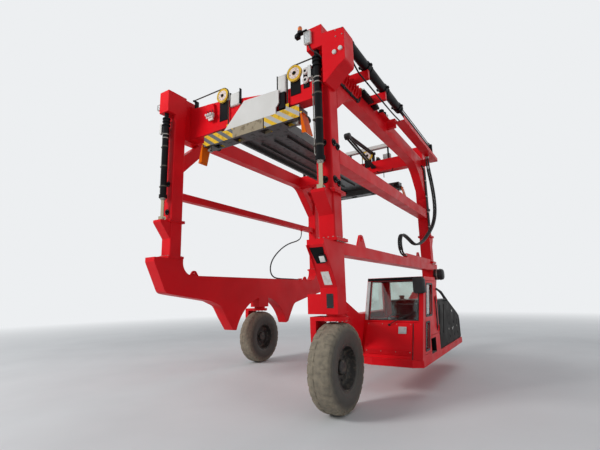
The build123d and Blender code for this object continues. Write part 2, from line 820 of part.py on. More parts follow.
# Power pack behind the cab, falling away towards the rear, with louvred air slots
louvre_places = (60, -290)   # rear edges of the slots at their tops
louvre_wide = 60
louvre_foot_z = base_top_z + 260
louvre_top_z = pack_top_z - 100
louvre_count = 8
with BuildPart() as power_pack:
    side_plate(
        [
            (module_rear_x + 20, base_top_z + fit_gap),
            (cab_rear_x - 50, base_top_z + fit_gap),
            (cab_rear_x - 50, pack_top_z),
            (pack_slope_x, pack_top_z - 20),
            (module_rear_x + 20, pack_low_z),
        ],
        module_y0 + 30,
        module_y1 - 20,
    )
    for x in louvre_places:
        foot_x = x + rake * (louvre_top_z - louvre_foot_z)
        side_plate(
            [
                (x, louvre_top_z),
                (x + louvre_wide, louvre_top_z),
                (foot_x + louvre_wide, louvre_foot_z),
                (foot_x, louvre_foot_z),
            ],
            module_y1 - 60,
            module_y1 - 10,
            mode=Mode.SUBTRACT,
        )
        for step in range(louvre_count):
            z = louvre_foot_z + (step + 0.5) * (louvre_top_z - louvre_foot_z) / louvre_count
            blade_x = x + rake * (louvre_top_z - z)
            block(blade_x - 6, blade_x + louvre_wide + 6, module_y1 - 61, module_y1 - 32,
                  z, z + 8)
finish(power_pack.part, "power_pack")

# Upper side beams, each with its corner knees
with BuildPart() as beam_upper_left:
    side_plate(
        [
            (inner_x - fit_gap, upper_top_z),
            (inner_x - fit_gap, upper_foot_z - knee_drop + 380),
            (inner_x - 554, upper_foot_z, 500),
            (804 - inner_x, upper_foot_z, 900),
            (-inner_x + fit_gap, upper_foot_z - knee_drop + 10),
            (-inner_x + fit_gap, upper_top_z),
        ],
        half_width - side_beam_width,
        half_width,
    )
finish(beam_upper_left.part, "beam_upper_left")

with BuildPart() as beam_upper_right:
    side_plate(
        [
            (inner_x - fit_gap, upper_top_z),
            (inner_x - fit_gap, upper_foot_z - knee_drop),
            (inner_x - knee_reach, upper_foot_z, 500),
            (knee_reach - inner_x, upper_foot_z, 500),
            (-inner_x + fit_gap, upper_foot_z - knee_drop),
            (-inner_x + fit_gap, upper_top_z),
        ],
        -half_width,
        -half_width + side_beam_width,
    )
    for end in (1, -1):
        side_plate(
            [
                (end * (inner_x - 1), upper_foot_z - 0.54 * knee_drop),
                (end * (inner_x - 1), upper_foot_z - 60),
                (end * (inner_x - 454), upper_foot_z - 60),
            ],
            -half_width - 10,
            -half_width + side_beam_width + 10,
            mode=Mode.SUBTRACT,
        )
finish(beam_upper_right.part, "beam_upper_right")

with BuildPart() as beam_mid_left:
    block(-inner_x + fit_gap, inner_x - fit_gap, half_width - side_beam_width, half_width,
          mid_beam_foot_z, mid_beam_top_z)
finish(beam_mid_left.part, "beam_mid_left")

with BuildPart() as tie_right:
    block(-inner_x + fit_gap, inner_x - fit_gap, -post_y - tie_width / 2,
          -post_y + tie_width / 2, tie_foot_z, tie_top_z)
    rod(route_right[0][0], route_right[0][1], route_right[0][2],
        tie_foot_z + 1 - route_right[0][2], 26, (0, 0, 1))
finish(tie_right.part, "tie_right")

# Cross beams between the side beams
with BuildPart() as cross_front:
    cross_plate(
        [
            (-beam_inner_y + fit_gap, cross_foot_z),
            (beam_inner_y - fit_gap, cross_foot_z),
            (beam_inner_y - fit_gap, cross_top_z),
            (beam_inner_y - 1045, cross_top_z + 15),
            (885 - beam_inner_y, cross_gusset_z - 70),
            (135 - beam_inner_y, cross_gusset_z),
            (-beam_inner_y + fit_gap, cross_gusset_z + 90),
        ],
        cross_front_x - cross_depth,
        cross_front_x,
    )
    cross_plate(
        [
            (-1180, cross_top_z - 60),
            (-1000, cross_top_z - 60),
            (-960, cross_top_z + 120),
            (-1000, cross_top_z + 300),
            (-1180, cross_top_z + 320),
        ],
        cross_front_x - 1,
        cross_front_x + 60,
    )
finish(cross_front.part, "cross_beam_front")

with BuildPart() as cross_rear:
    block(cross_rear_x - cross_depth, cross_rear_x, -beam_inner_y + fit_gap,
          beam_inner_y - fit_gap, cross_foot_z, cross_top_z)
finish(cross_rear.part, "cross_beam_rear")

# Hoist cylinder along the left side, and the rail under its rod
with BuildPart() as hoist_barrel:
    rod(hoist_rear_x, hoist_y, hoist_z, hoist_front_x - hoist_rear_x, hoist_radius, (1, 0, 0))
    for band_x, band_width in ((hoist_rear_x, 60), (hoist_rear_x + 900, 40),
                               (hoist_rear_x + 1800, 40), (hoist_front_x - 60, 40)):
        rod(band_x, hoist_y, hoist_z, band_width, hoist_radius + 10, (1, 0, 0))
    rod(hoist_rear_x, hoist_y, hoist_z, 60, hoist_rod_radius + fit_gap, (1, 0, 0),
        mode=Mode.SUBTRACT)
    rod(hoist_rear_x + 60, hoist_y, hoist_z, hoist_length - 400, hoist_bore, (1, 0, 0),
        mode=Mode.SUBTRACT)
finish(hoist_barrel.part, "hoist_barrel")

with BuildPart() as hoist_rod:
    rod(hoist_rod_end_x, hoist_y, hoist_z, hoist_rear_x + 350 - hoist_rod_end_x,
        hoist_rod_radius, (1, 0, 0))
    block(hoist_rod_end_x - 80, hoist_rod_end_x, hoist_y - 80, hoist_y + 80,
          rail_foot_z + rail_plate + fit_gap, hoist_z + 85)
finish(hoist_rod.part, "hoist_rod")

with BuildPart() as rail:
    rail_front_x, rail_rear_x = hoist_rear_x + 40, rail_set_in - half_length
    block(rail_rear_x, rail_front_x, hoist_y - rail_half_width, hoist_y + rail_half_width,
          rail_foot_z, rail_foot_z + rail_plate)
    for y in (hoist_y - rail_half_width, hoist_y + rail_half_width - rail_plate):
        block(rail_rear_x, rail_front_x, y, y + rail_plate, rail_foot_z, rail_lip_z)
    for x in (rail_rear_x + 120, rail_front_x - 50):
        block(x - 50, x + 50, half_width + fit_gap, hoist_y - rail_half_width + 1,
              rail_foot_z - 100, rail_lip_z)
    for x in (hoist_rear_x + 1000, hoist_rear_x + 1900):
        block(x, x + 80, half_width + fit_gap, hoist_y + 50, rail_foot_z + 40,
              hoist_z - hoist_radius - fit_gap)
    for side in (1, -1):
        x, y, z = route_left[0]
        rod(x, y + side * hose_apart, z, rail_foot_z + 1 - z, hose_radius + 5, (0, 0, 1))
finish(rail.part, "hoist_rail")

# On the front cross beam. Columns: from y, to y, from z, to z
guide_blocks = [
    (740, 880, cross_top_z - 370, cross_top_z - 40),
    (700, 716, cross_top_z - 39, cross_top_z + 330),
    (-530, -514, cross_top_z + 70, cross_top_z + 390),
    (-256, -240, cross_top_z + 70, cross_top_z + 410),
]
anchor_boxes = [
    (717, 905, cross_top_z - 39, cross_top_z + 320),
    (-513, -257, cross_top_z + 70, cross_top_z + 350),
]

# Sheaves on plates in front of both cross beams, and the chains that hang from them
with BuildPart() as brackets:
    for face_x, y, sheave_z, chain_side in sheave_table:
        block(face_x + fit_gap, face_x + 12, y - 110, y + 110, cross_foot_z + 180, sheave_z + 110)
        rod(face_x + 10, y, sheave_z, sheave_stand + sheave_width / 2, sheave_bore - fit_gap,
            (1, 0, 0))
    for y0, y1, z0, z1 in guide_blocks:
        block(cross_front_x + fit_gap, cross_front_x + 55, y0, y1, z0, z1)
finish(brackets.part, "sheave_plates")

# Chain anchors beside the front sheaves and the boxes at the tops of the lift barrels
with BuildPart() as boxes:
    for y0, y1, z0, z1 in anchor_boxes:
        block(cross_front_x + fit_gap, cross_front_x + 45, y0, y1, z0, z1)
    for name, end, side, head_top_z in corners:
        x, y = end * cylinder_x, side * post_y - barrel_radius - 34 - fit_gap
        block(x - 45, x + 45, y - 60, y, barrel_top_z - 330, barrel_top_z - 110)
finish(boxes.part, "junction_boxes")

with BuildPart() as sheaves:
    for face_x, y, sheave_z, chain_side in sheave_table:
        x = face_x + sheave_stand - sheave_width / 2
        centre = (x, y + tunnel_y, sheave_z)
        with BuildSketch(Plane(origin=centre, x_dir=(1, 0, 0), z_dir=(0, -1, 0))) as rim:
            with BuildLine():
                Polyline(
                    (0, sheave_bore),
                    (0, sheave_radius),
                    (8, sheave_radius),
                    (sheave_width / 2, sheave_radius - groove_depth),
                    (sheave_width - 8, sheave_radius),
                    (sheave_width, sheave_radius),
                    (sheave_width, sheave_radius - 28),
                    (sheave_width - 6, sheave_radius - 32),
                    (sheave_width - 6, sheave_bore + 20),
                    (sheave_width, sheave_bore + 16),
                    (sheave_width, sheave_bore),
                    close=True,
                )
            make_face()
        revolve(rim.sketch, axis=Axis(centre, (1, 0, 0)))
finish(sheaves.part, "sheaves")

with BuildPart() as chains:
    for face_x, y, sheave_z, chain_side in sheave_table:
        x, hang_y = face_x + sheave_stand, y + chain_side * chain_out
        block(x - chain_width / 2, x + chain_width / 2, hang_y - chain_thick / 2,
              hang_y + chain_thick / 2, chain_foot_z + fit_gap, chain_head_z)
finish(chains.part, "chain_falls")

# The front sheaves stand higher, so a length of chain runs on from the falls to each.
with BuildPart() as leads:
    for face_x, y, sheave_z, chain_side in sheave_table:
        x, hang_y = face_x + sheave_stand, y + chain_side * chain_out
        if sheave_z > chain_head_z:
            block(x - chain_width / 2, x + chain_width / 2, hang_y - chain_thick / 2,
                  hang_y + chain_thick / 2, chain_head_z + fit_gap, sheave_z)
finish(leads.part, "chain_leads")

# Work lamps and the beacon on the front heads, and the lamp under the left nose
head_front_x = half_length + head_reach
with BuildPart() as lamps:
    block(head_front_x + fit_gap, head_front_x + 55, inner_y - 20, inner_y + 100,
          head_foot_z + 110, head_foot_z + 330)
    block(head_front_x + fit_gap, head_front_x + 90, inner_y - 139, inner_y + 60,
          head_foot_z + 329, head_foot_z + 343)
    rod(head_front_x + 45, inner_y - 90, head_foot_z + 342, 135, 42, (0, 0, 1))
    block(head_front_x - 90, head_front_x - 20, -half_width - 120, -half_width - fit_gap,
          head_foot_z + 120, head_foot_z + 250)
finish(lamps.part, "lamps_upper")

with BuildPart() as nose_lamp:
    slope = nose_reach / (nose_lip_z - nose_foot_z)
    low_z, high_z = nose_lip_z - 270, nose_lip_z - 130
    side_plate(
        [
            (half_length + slope * (low_z - nose_foot_z) + 2 * fit_gap, low_z),
            (half_length + slope * (high_z - nose_foot_z) + 2 * fit_gap, high_z),
            (half_length + slope * (high_z - nose_foot_z) + 55, high_z - 30),
            (half_length + slope * (low_z - nose_foot_z) + 55, low_z - 30),
        ],
        post_y + 23,
        post_y + 133,
    )
finish(nose_lamp.part, "lamp_nose")

# Hoses
for name, side in (("hose_left_outer", 1), ("hose_left_inner", -1)):
    with BuildPart() as lift_hose:
        hose([(x, y + side * hose_apart, z) for x, y, z in route_left], hose_radius)
    finish(lift_hose.part, name)
with BuildPart() as lift_hose:
    hose(route_right, hose_right_radius)
finish(lift_hose.part, "hose_right")

# Spreader frame: two end beams, the deck between them and the lugs that the chains hold
spreader_rear_x = spreader_front_x - spreader_length
spreader_mid_x = spreader_front_x - spreader_length / 2
half_spread = spreader_width / 2
end_beam_top_z = spreader_foot_z + end_beam_height
with BuildPart() as spreader_frame:
    block(spreader_front_x - end_beam_depth, spreader_front_x, -half_spread, half_spread,
          spreader_foot_z, end_beam_top_z)
    block(spreader_rear_x, spreader_rear_x + end_beam_depth, -half_spread, half_spread,
          spreader_foot_z, end_beam_top_z)
    block(spreader_rear_x + end_beam_depth, spreader_front_x - end_beam_depth,
          -deck_half_width, deck_half_width, deck_foot_z, deck_top_z)
    for side in (1, -1):
        block(spreader_rear_x + end_beam_depth - 1, spreader_front_x - end_beam_depth + 1,
              side * deck_half_width, side * (deck_half_width - 60), deck_foot_z - 70, deck_foot_z)
        for x in (spreader_front_x - 20, spreader_rear_x + 20):
            block(x - 20, x + 20, side * (deck_half_width + 90), side * half_spread,
                  end_beam_top_z - 1, end_beam_top_z + 26)
        for y in (250, 820):
            for x in (spreader_front_x - end_beam_depth + 60, spreader_rear_x + 60):
                block(x, x + 180, side * y, side * (y + 200), spreader_foot_z,
                      spreader_foot_z + 60, mode=Mode.SUBTRACT)
    block(spreader_front_x - 25, spreader_front_x, 385, 410, spreader_foot_z, end_beam_top_z,
          mode=Mode.SUBTRACT)
    for y in (-350, 0, 350):
        block(spreader_rear_x + 900, spreader_front_x - 900, y - 12, y + 12, deck_foot_z - 40,
              deck_foot_z)
    for face_x, y, sheave_z, chain_side in sheave_table:
        x, hang_y = face_x + sheave_stand, y + chain_side * chain_out
        foot_z = end_beam_top_z if face_x > 0 else deck_top_z
        block(x - 15, x + 15, hang_y - 35, hang_y + 35, foot_z - 5, chain_foot_z)
    for end in (1, -1):
        lug_x = spreader_mid_x + end * (flipper_front_x - spreader_mid_x - flipper_length)
        for side in (1, -1):
            for step in (0, 185):
                x = lug_x + end * step
                x0, x1 = min(x, x + end * 30), max(x, x + end * 30)
                block(x0, x1, side * (half_spread - 1), side * flipper_pin_y,
                      flipper_pin_z - 20, flipper_pin_z + 20)
                rod(x0, side * flipper_pin_y, flipper_pin_z, 30, flipper_knuckle_radius,
                    (1, 0, 0))
            rod(lug_x + end * 20, side * flipper_pin_y, flipper_pin_z, 175,
                flipper_pin_radius, (end, 0, 0))
finish(spreader_frame.part, "spreader_frame")

with BuildPart() as mast_plate:
    cross_plate(
        [
            (-640, end_beam_top_z + fit_gap),
            (690, end_beam_top_z + fit_gap),
            (690, end_beam_top_z + 120),
            (760, end_beam_top_z + 200),
            (760, end_beam_top_z + mast_plate_height - 40),
            (-100, end_beam_top_z + mast_plate_height),
        ],
        spreader_front_x - 28,
        spreader_front_x - 3,
    )
finish(mast_plate.part, "spreader_mast_plate")

with BuildPart() as twistlocks:
    for end in (1, -1):
        for side in (1, -1):
            x = spreader_mid_x + end * (spreader_length / 2 - lock_inset_x)
            y = side * (half_spread - lock_inset_y)
            rod(x, y, spreader_foot_z - fit_gap, 60, lock_radius, (0, 0, -1))
            block(x - 48, x + 48, y - 26, y + 26, spreader_foot_z - 95, spreader_foot_z - 55)
finish(twistlocks.part, "twistlocks")

# Corner guides that fold down past the container
for name, end, side, head_top_z in corners:
    with BuildPart() as flipper:
        near = spreader_mid_x + end * (flipper_front_x - spreader_mid_x)
        far = near - end * flipper_length
        y = side * flipper_pin_y
        lean = side * flipper_lean
        t = side * flipper_plate / 2
        cross_plate(
            [
                (y - t + lean * 0.075, flipper_pin_z - 32),
                (y + t + lean * 0.075, flipper_pin_z - 32),
                (y + t + lean, flipper_pin_z - flipper_drop),
                (y - t + lean, flipper_pin_z - flipper_drop),
            ],
            min(near, far),
            max(near, far),
        )
        cross_plate(
            [
                (y - t + lean * 0.075, flipper_pin_z - 40),
                (y + lean, flipper_pin_z - flipper_drop),
                (y + lean * 0.2, flipper_pin_z - flipper_drop + 10),
            ],
            near - 10 if end > 0 else near,
            near if end > 0 else near + 10,
        )
        middle = (near + far) / 2
        block(middle - 50, middle + 50, y - abs(t), y + abs(t), flipper_pin_z - 60, flipper_pin_z)
        rod(middle - 50, y, flipper_pin_z, 100, flipper_knuckle_radius, (1, 0, 0))
        rod(middle - 60, y, flipper_pin_z, 120, flipper_pin_radius + fit_gap, (1, 0, 0),
            mode=Mode.SUBTRACT)
    finish(flipper.part, f"flipper_{name}")

# Steered wheels, each on one arm at its right-hand side. Columns: name, x, y
wheels = [
    ("front_left", wheel_x, post_y),
    ("rear_left", -wheel_x, post_y),
    ("right", mid_wheel_x, -post_y),
]
plate_top_z = leg_foot_z - ring_height - fit_gap
plate_foot_z = plate_top_z - knuckle_plate
for name, x, y in wheels:
    arm_face_y = y - tyre_width / 2 - arm_gap
    arm_out_y = arm_face_y - arm_thick
    with BuildPart() as knuckle:
        rod(x, y, plate_foot_z, knuckle_plate, 200, (0, 0, 1))
        block(x - 170, x + 170, arm_out_y, y, plate_foot_z, plate_top_z)
        side_plate(
            [
                (x - 170, plate_top_z - 10),
                (x - 170, plate_top_z - 200),
                (x - 130, tyre_radius - 60),
                (x - 70, tyre_radius - 130),
                (x + 70, tyre_radius - 130),
                (x + 130, tyre_radius - 60),
                (x + 170, plate_top_z - 200),
                (x + 170, plate_top_z - 10),
            ],
            arm_out_y,
            arm_face_y,
        )
        rod(x, arm_out_y - hub_cap, tyre_radius, hub_cap + 5, 110, (0, 1, 0))
        rod(x, arm_face_y - 5, tyre_radius, y + 30 - arm_face_y, spindle_radius, (0, 1, 0))
    finish(knuckle.part, f"knuckle_{name}")

    tyre_plane = Plane(origin=(x, y + tunnel_y, tyre_radius), x_dir=(0, 1, 0), z_dir=(1, 0, 0))
    half_tyre = tyre_width / 2
    with BuildPart() as tyre:
        with BuildSketch(tyre_plane) as section:
            with BuildLine():
                Polyline(
                    (-half_tyre + 40, rim_radius),
                    (-half_tyre, rim_radius + 60),
                    (-half_tyre, tyre_radius - 90),
                    (-half_tyre + 45, tyre_radius - 15),
                    (-half_tyre + 100, tyre_radius),
                    (half_tyre - 100, tyre_radius),
                    (half_tyre - 45, tyre_radius - 15),
                    (half_tyre, tyre_radius - 90),
                    (half_tyre, rim_radius + 60),
                    (half_tyre - 40, rim_radius),
                    close=True,
                )
            make_face()
        revolve(section.sketch, axis=Axis((x, y + tunnel_y, tyre_radius), (0, 1, 0)))
        for side in (1, -1):
            hub_plane = Plane(origin=(x, y + tunnel_y + side * half_tyre, tyre_radius),
                              x_dir=(1, 0, 0), z_dir=(0, 1, 0))
            with Locations(hub_plane):
                with PolarLocations(tyre_radius - 20, lug_count, start_angle=side * 5):
                    Box(70, lug_gap, 2 * lug_width, mode=Mode.SUBTRACT)
    finish(tyre.part, f"tyre_{name}")

    with BuildPart() as rim:
        rod(x, y - half_tyre + 40, tyre_radius, tyre_width - 80, rim_radius - fit_gap, (0, 1, 0))
        rod(x, y - half_tyre + 30, tyre_radius, 110, rim_radius - 45, (0, 1, 0),
            mode=Mode.SUBTRACT)
        rod(x, y + half_tyre - 30, tyre_radius, 130, rim_radius - 45, (0, -1, 0),
            mode=Mode.SUBTRACT)
        rod(x, y - 60, tyre_radius, 150, 130, (0, 1, 0))
        rod(x, y - 70, tyre_radius, 70 + 35, spindle_radius + fit_gap, (0, 1, 0),
            mode=Mode.SUBTRACT)
    finish(rim.part, f"rim_{name}")
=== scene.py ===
"""Looks of the container straddle carrier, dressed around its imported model.

Metres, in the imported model's frame: +X forward, +Y to the cab side, +Z up.
"""
import math

import bpy
from mathutils import Matrix, Vector


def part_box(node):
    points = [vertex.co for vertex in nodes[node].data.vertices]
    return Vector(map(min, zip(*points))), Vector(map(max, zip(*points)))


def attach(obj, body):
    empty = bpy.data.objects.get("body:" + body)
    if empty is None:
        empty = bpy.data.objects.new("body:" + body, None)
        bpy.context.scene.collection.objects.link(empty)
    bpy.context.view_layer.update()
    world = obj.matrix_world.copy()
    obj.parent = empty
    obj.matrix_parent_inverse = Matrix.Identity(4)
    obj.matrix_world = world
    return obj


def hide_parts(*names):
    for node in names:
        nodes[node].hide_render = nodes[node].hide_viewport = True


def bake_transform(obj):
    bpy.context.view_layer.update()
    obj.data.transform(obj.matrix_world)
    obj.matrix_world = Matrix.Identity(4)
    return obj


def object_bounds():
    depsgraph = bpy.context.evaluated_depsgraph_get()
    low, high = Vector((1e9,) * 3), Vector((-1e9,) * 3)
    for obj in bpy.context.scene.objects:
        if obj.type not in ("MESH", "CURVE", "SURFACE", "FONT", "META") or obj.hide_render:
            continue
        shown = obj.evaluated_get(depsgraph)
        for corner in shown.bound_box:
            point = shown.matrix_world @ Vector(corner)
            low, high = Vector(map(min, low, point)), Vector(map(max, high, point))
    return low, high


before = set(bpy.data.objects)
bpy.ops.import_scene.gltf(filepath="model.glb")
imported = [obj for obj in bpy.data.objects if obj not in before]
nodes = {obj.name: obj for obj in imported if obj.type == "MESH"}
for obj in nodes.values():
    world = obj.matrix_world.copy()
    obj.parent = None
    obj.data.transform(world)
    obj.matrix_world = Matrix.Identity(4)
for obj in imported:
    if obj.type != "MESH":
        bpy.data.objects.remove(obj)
cad_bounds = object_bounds()

# The frame's main places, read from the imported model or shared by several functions
TUNNEL = (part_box("post_front_left")[0].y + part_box("post_front_right")[1].y) / 2
POST = 0.286                      # square section of posts and sleeves
POST_X, POST_Y = 2.997, 1.882
JOINT_Z, POST_TOP_Z = 2.51, 3.262
HEAD_FACE = 3.34                  # front of the left head
BEAM_FACE = 2.0255                # just off the outer face of the left upper beam
REAR_BEAM_TOP = 5.54
HOIST_Y, HOIST_Z = 2.33, 5.745    # middle line of the hoist cylinder
CYLINDER_X, BARREL = 3.26, 0.065  # place and radius of the lift cylinders
AHEAD, LEFT, UP = (1, 0, 0), (0, 1, 0), (0, 0, 1)
# Columns: name, end, side
CORNERS = (("front_left", 1, 1), ("front_right", 1, -1), ("rear_left", -1, 1), ("rear_right", -1, -1))
QUARTERS = ((1, 1), (1, -1), (-1, 1), (-1, -1))
WHEELS = ("front_left", "rear_left", "right")


# Materials

def srgb(code):
    """Linear colour of an sRGB hex value."""
    channels = [int(code[i:i + 2], 16) / 255 for i in (1, 3, 5)]
    linear = [c / 12.92 if c <= 0.04045 else ((c + 0.055) / 1.055) ** 2.4 for c in channels]
    return (*linear, 1.0)


def put(tree, socket, value):
    """Link a socket to another one, or set it to a value or a colour code."""
    if isinstance(value, bpy.types.NodeSocket):
        tree.links.new(value, socket)
    else:
        socket.default_value = srgb(value) if isinstance(value, str) else value


def add(tree, kind, inputs=(), out=0, **settings):
    """Add a node and return one output: settings as keywords, inputs by name or number."""
    made = tree.nodes.new(kind)
    for name, value in settings.items():
        setattr(made, name, value)
    for key, value in dict(inputs).items():
        put(tree, made.inputs[key], value)
    return made.outputs[out]


class Finish:
    """A material in the making, on the object's own coordinates."""

    def __init__(self, name, **sockets):
        self.material = bpy.data.materials.new(name)
        self.material.use_nodes = True
        self.tree = self.material.node_tree
        self.shader = self.tree.nodes["Principled BSDF"]
        self.where = self.add("ShaderNodeTexCoord", out="Object")
        self.set(**sockets)

    def add(self, kind, inputs=(), **settings):
        """Add a node to this material."""
        return add(self.tree, kind, inputs, **settings)

    def set(self, **sockets):
        """Set or link sockets of the shader, underscores standing for blanks."""
        for key, value in sockets.items():
            put(self.tree, self.shader.inputs[key.replace("_", " ")], value)

    def mix(self, share, first, second):
        """Blend of two colours by a share."""
        return self.add("ShaderNodeMix", {0: share, 6: first, 7: second}, out=2, data_type="RGBA")

    def spread(self, value, low, high, to_low=0.0, to_high=1.0):
        """A value stretched from one span to another, clamped."""
        return self.add("ShaderNodeMapRange", {0: value, 1: low, 2: high, 3: to_low, 4: to_high})

    def math(self, first, second, operation="MULTIPLY"):
        """Two values combined by one operation."""
        return self.add("ShaderNodeMath", {0: first, 1: second}, operation=operation)

    def vector(self, operation, first, second=(0, 0, 0), out=0):
        """Two vectors combined by one operation."""
        return self.add("ShaderNodeVectorMath", {0: first, 1: second}, out=out, operation=operation)

    def parts(self, source="Object"):
        """X, Y and Z of the place on the object or of its normal."""
        spot = self.add("ShaderNodeTexCoord", out=source)
        return self.add("ShaderNodeSeparateXYZ", {0: spot}).node.outputs

    def grain(self, cells, detail=4.0, squash=None):
        """Cloudy noise at a number of cells a metre."""
        where = self.where
        if squash:
            where = self.add("ShaderNodeMapping", {0: where, "Scale": squash})
        return self.add("ShaderNodeTexNoise", {0: where, "Scale": cells, "Detail": detail})

    def clouds(self, cells, low, high, to_low=0.0, to_high=1.0, detail=4.0):
        """Noise stretched from one span to another."""
        return self.spread(self.grain(cells, detail), low, high, to_low, to_high)

    def wave(self, per_metre, direction):
        """Bands across one axis."""
        return self.add("ShaderNodeTexWave", {0: self.where, "Scale": per_metre}, out=1,
                        bands_direction=direction)

    def relief(self, height, depth, strength=0.4, round_edge=0.0):
        """Give the normal a relief of the given depth, over softly rounded edges."""
        inputs = {"Height": height, "Distance": depth, "Strength": strength}
        if round_edge:
            inputs["Normal"] = self.add("ShaderNodeBevel", {0: round_edge}, samples=4)
        self.set(Normal=self.add("ShaderNodeBump", inputs))


def enamel(name, colour, faded, dust, dust_share, roughness=0.34, round_edge=0.006, shine=0.2):
    """Sprayed two-pack enamel on steel plate: even colour, slight orange peel, dust on what faces up."""
    finish = Finish(name, IOR=1.45, Coat_Weight=0.04, Coat_Roughness=0.2, Specular_IOR_Level=shine)
    base = finish.mix(finish.clouds(1.1, 0.35, 0.75), colour, faded)
    upward = finish.spread(finish.parts("Normal")[2], 0.4, 0.95)
    settled = finish.math(upward, finish.clouds(7, 0.3, 0.8))
    finish.set(Base_Color=finish.mix(finish.math(settled, dust_share), base, dust),
               Roughness=finish.clouds(3.5, 0.3, 0.7, roughness - 0.06, roughness + 0.14))
    # Orange peel of a real spray coat is 2 to 4 mm across
    finish.relief(finish.grain(300, 2), 0.0002, 0.25, round_edge)
    return finish.material


def hard_chrome():
    """Hard chrome on ground rod: mirror bright, with fine grinding lines round the bar; its beige tint is
    a painted reflection of a beige ground.
    """
    # The beige base colour is a painted reflection of a beige ground, not the chrome's own colour
    finish = Finish("chrome_rod_painted_ground_reflection", Metallic=1.0, Base_Color="#B9AD93")
    lines = finish.grain(60, 3, (1, 1, 8))
    finish.set(Roughness=finish.spread(lines, 0.3, 0.7, 0.12, 0.26))
    finish.relief(lines, 0.0001, 0.15)
    return finish.material


def bare_steel(name, colour, roughness):
    """Rolled or machined steel with a dull oily skin."""
    finish = Finish(name, Metallic=0.85)
    marks = finish.grain(90)
    finish.set(Base_Color=finish.mix(finish.spread(marks, 0.35, 0.7), colour, "#6B655C"),
               Roughness=finish.spread(marks, 0.3, 0.7, roughness - 0.1, roughness + 0.15))
    finish.relief(marks, 0.0004, 0.3)
    return finish.material


def tread_rubber(wheel):
    """Natural rubber off-road tyre: grey-black walls, tread and shoulders pale with ground-in dust."""
    finish = Finish(f"dusty_rubber_{wheel}", IOR=1.52)
    low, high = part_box(f"tyre_{wheel}")
    reach = (high.z - low.z) / 2
    from_axle = finish.vector("SUBTRACT", finish.where, (low + high) / 2)
    radius = finish.vector("LENGTH", finish.vector("MULTIPLY", from_axle, (1, 0, 1)), out=1)
    tread = finish.spread(radius, reach * 0.78, reach * 0.97, 0.12, 0.95)
    dusted = finish.math(tread, finish.clouds(16, 0.25, 0.75, 0.45, 1.0, 6))
    finish.set(Base_Color=finish.mix(dusted, "#2E2C2A", "#9A8F7C"),
               Roughness=finish.spread(dusted, 0, 1, 0.55, 0.95))
    finish.relief(finish.grain(130, 5), 0.0012, 0.5)
    return finish.material


def worn(name, colour, other, clouds, gloss, grain=None, **sockets):
    """Colour and roughness that follow one noise, over a finer relief.

    Clouds holds cells a metre, detail and span; grain the relief's cells, detail, depth, strength
    and edge.
    """
    finish = Finish(name, **sockets)
    cells, detail, low, high = clouds
    share = finish.clouds(cells, low, high, detail=detail)
    finish.set(Base_Color=finish.mix(share, colour, other), Roughness=finish.spread(share, 0, 1, *gloss))
    if grain:
        finish.relief(finish.grain(*grain[:2]), *grain[2:])
    return finish.material


def moulded(name, colour, other, roughness, per_metre=900):
    """Injection-moulded or rubbery black stuff with a fine leather grain."""
    return worn(name, colour, other, (9, 4.0, 0.45, 0.8), (roughness, roughness + 0.2),
                (per_metre, 2, 0.0004, 0.35), IOR=1.49)


def plain_paint(name, colour, other, roughness=0.4):
    """Brushed or sprayed machine paint with rubbed patches."""
    return worn(name, colour, other, (18, 7, 0.5, 0.72), (roughness, roughness + 0.25),
                (220, 3, 0.0003, 0.3, 0.003), IOR=1.5)


def safety_glass():
    """Laminated cab glass, 8 mm: slightly green-grey, clear, with a thin dust film."""
    return worn("laminated_safety_glass", "#DCE6E2", "#C9CEC9", (2.5, 5, 0.45, 0.8), (0.02, 0.14),
                IOR=1.5, Transmission_Weight=1.0)


def woven_cloth():
    """Woven polyester seat cloth: 4 mm checks of dark grey yarn, drawn that coarse so it shows."""
    finish = Finish("woven_seat_cloth", IOR=1.46, Roughness=0.9, Sheen_Weight=0.35,
                    Sheen_Roughness=0.4)
    weave = finish.math(finish.wave(80, "Y"), finish.wave(80, "X"))
    finish.set(Base_Color=finish.mix(weave, "#1B1C1F", "#43454B"))
    finish.relief(weave, 0.0012, 0.6)
    return finish.material


def clear_moulding(name, colour):
    """Injection-moulded polycarbonate lens, tinted through, with 8 mm flutes that break the light."""
    finish = Finish(name, IOR=1.58, Roughness=0.12, Transmission_Weight=0.55, Base_Color=colour)
    finish.relief(finish.wave(40, "Z"), 0.0015, 0.5)
    return finish.material


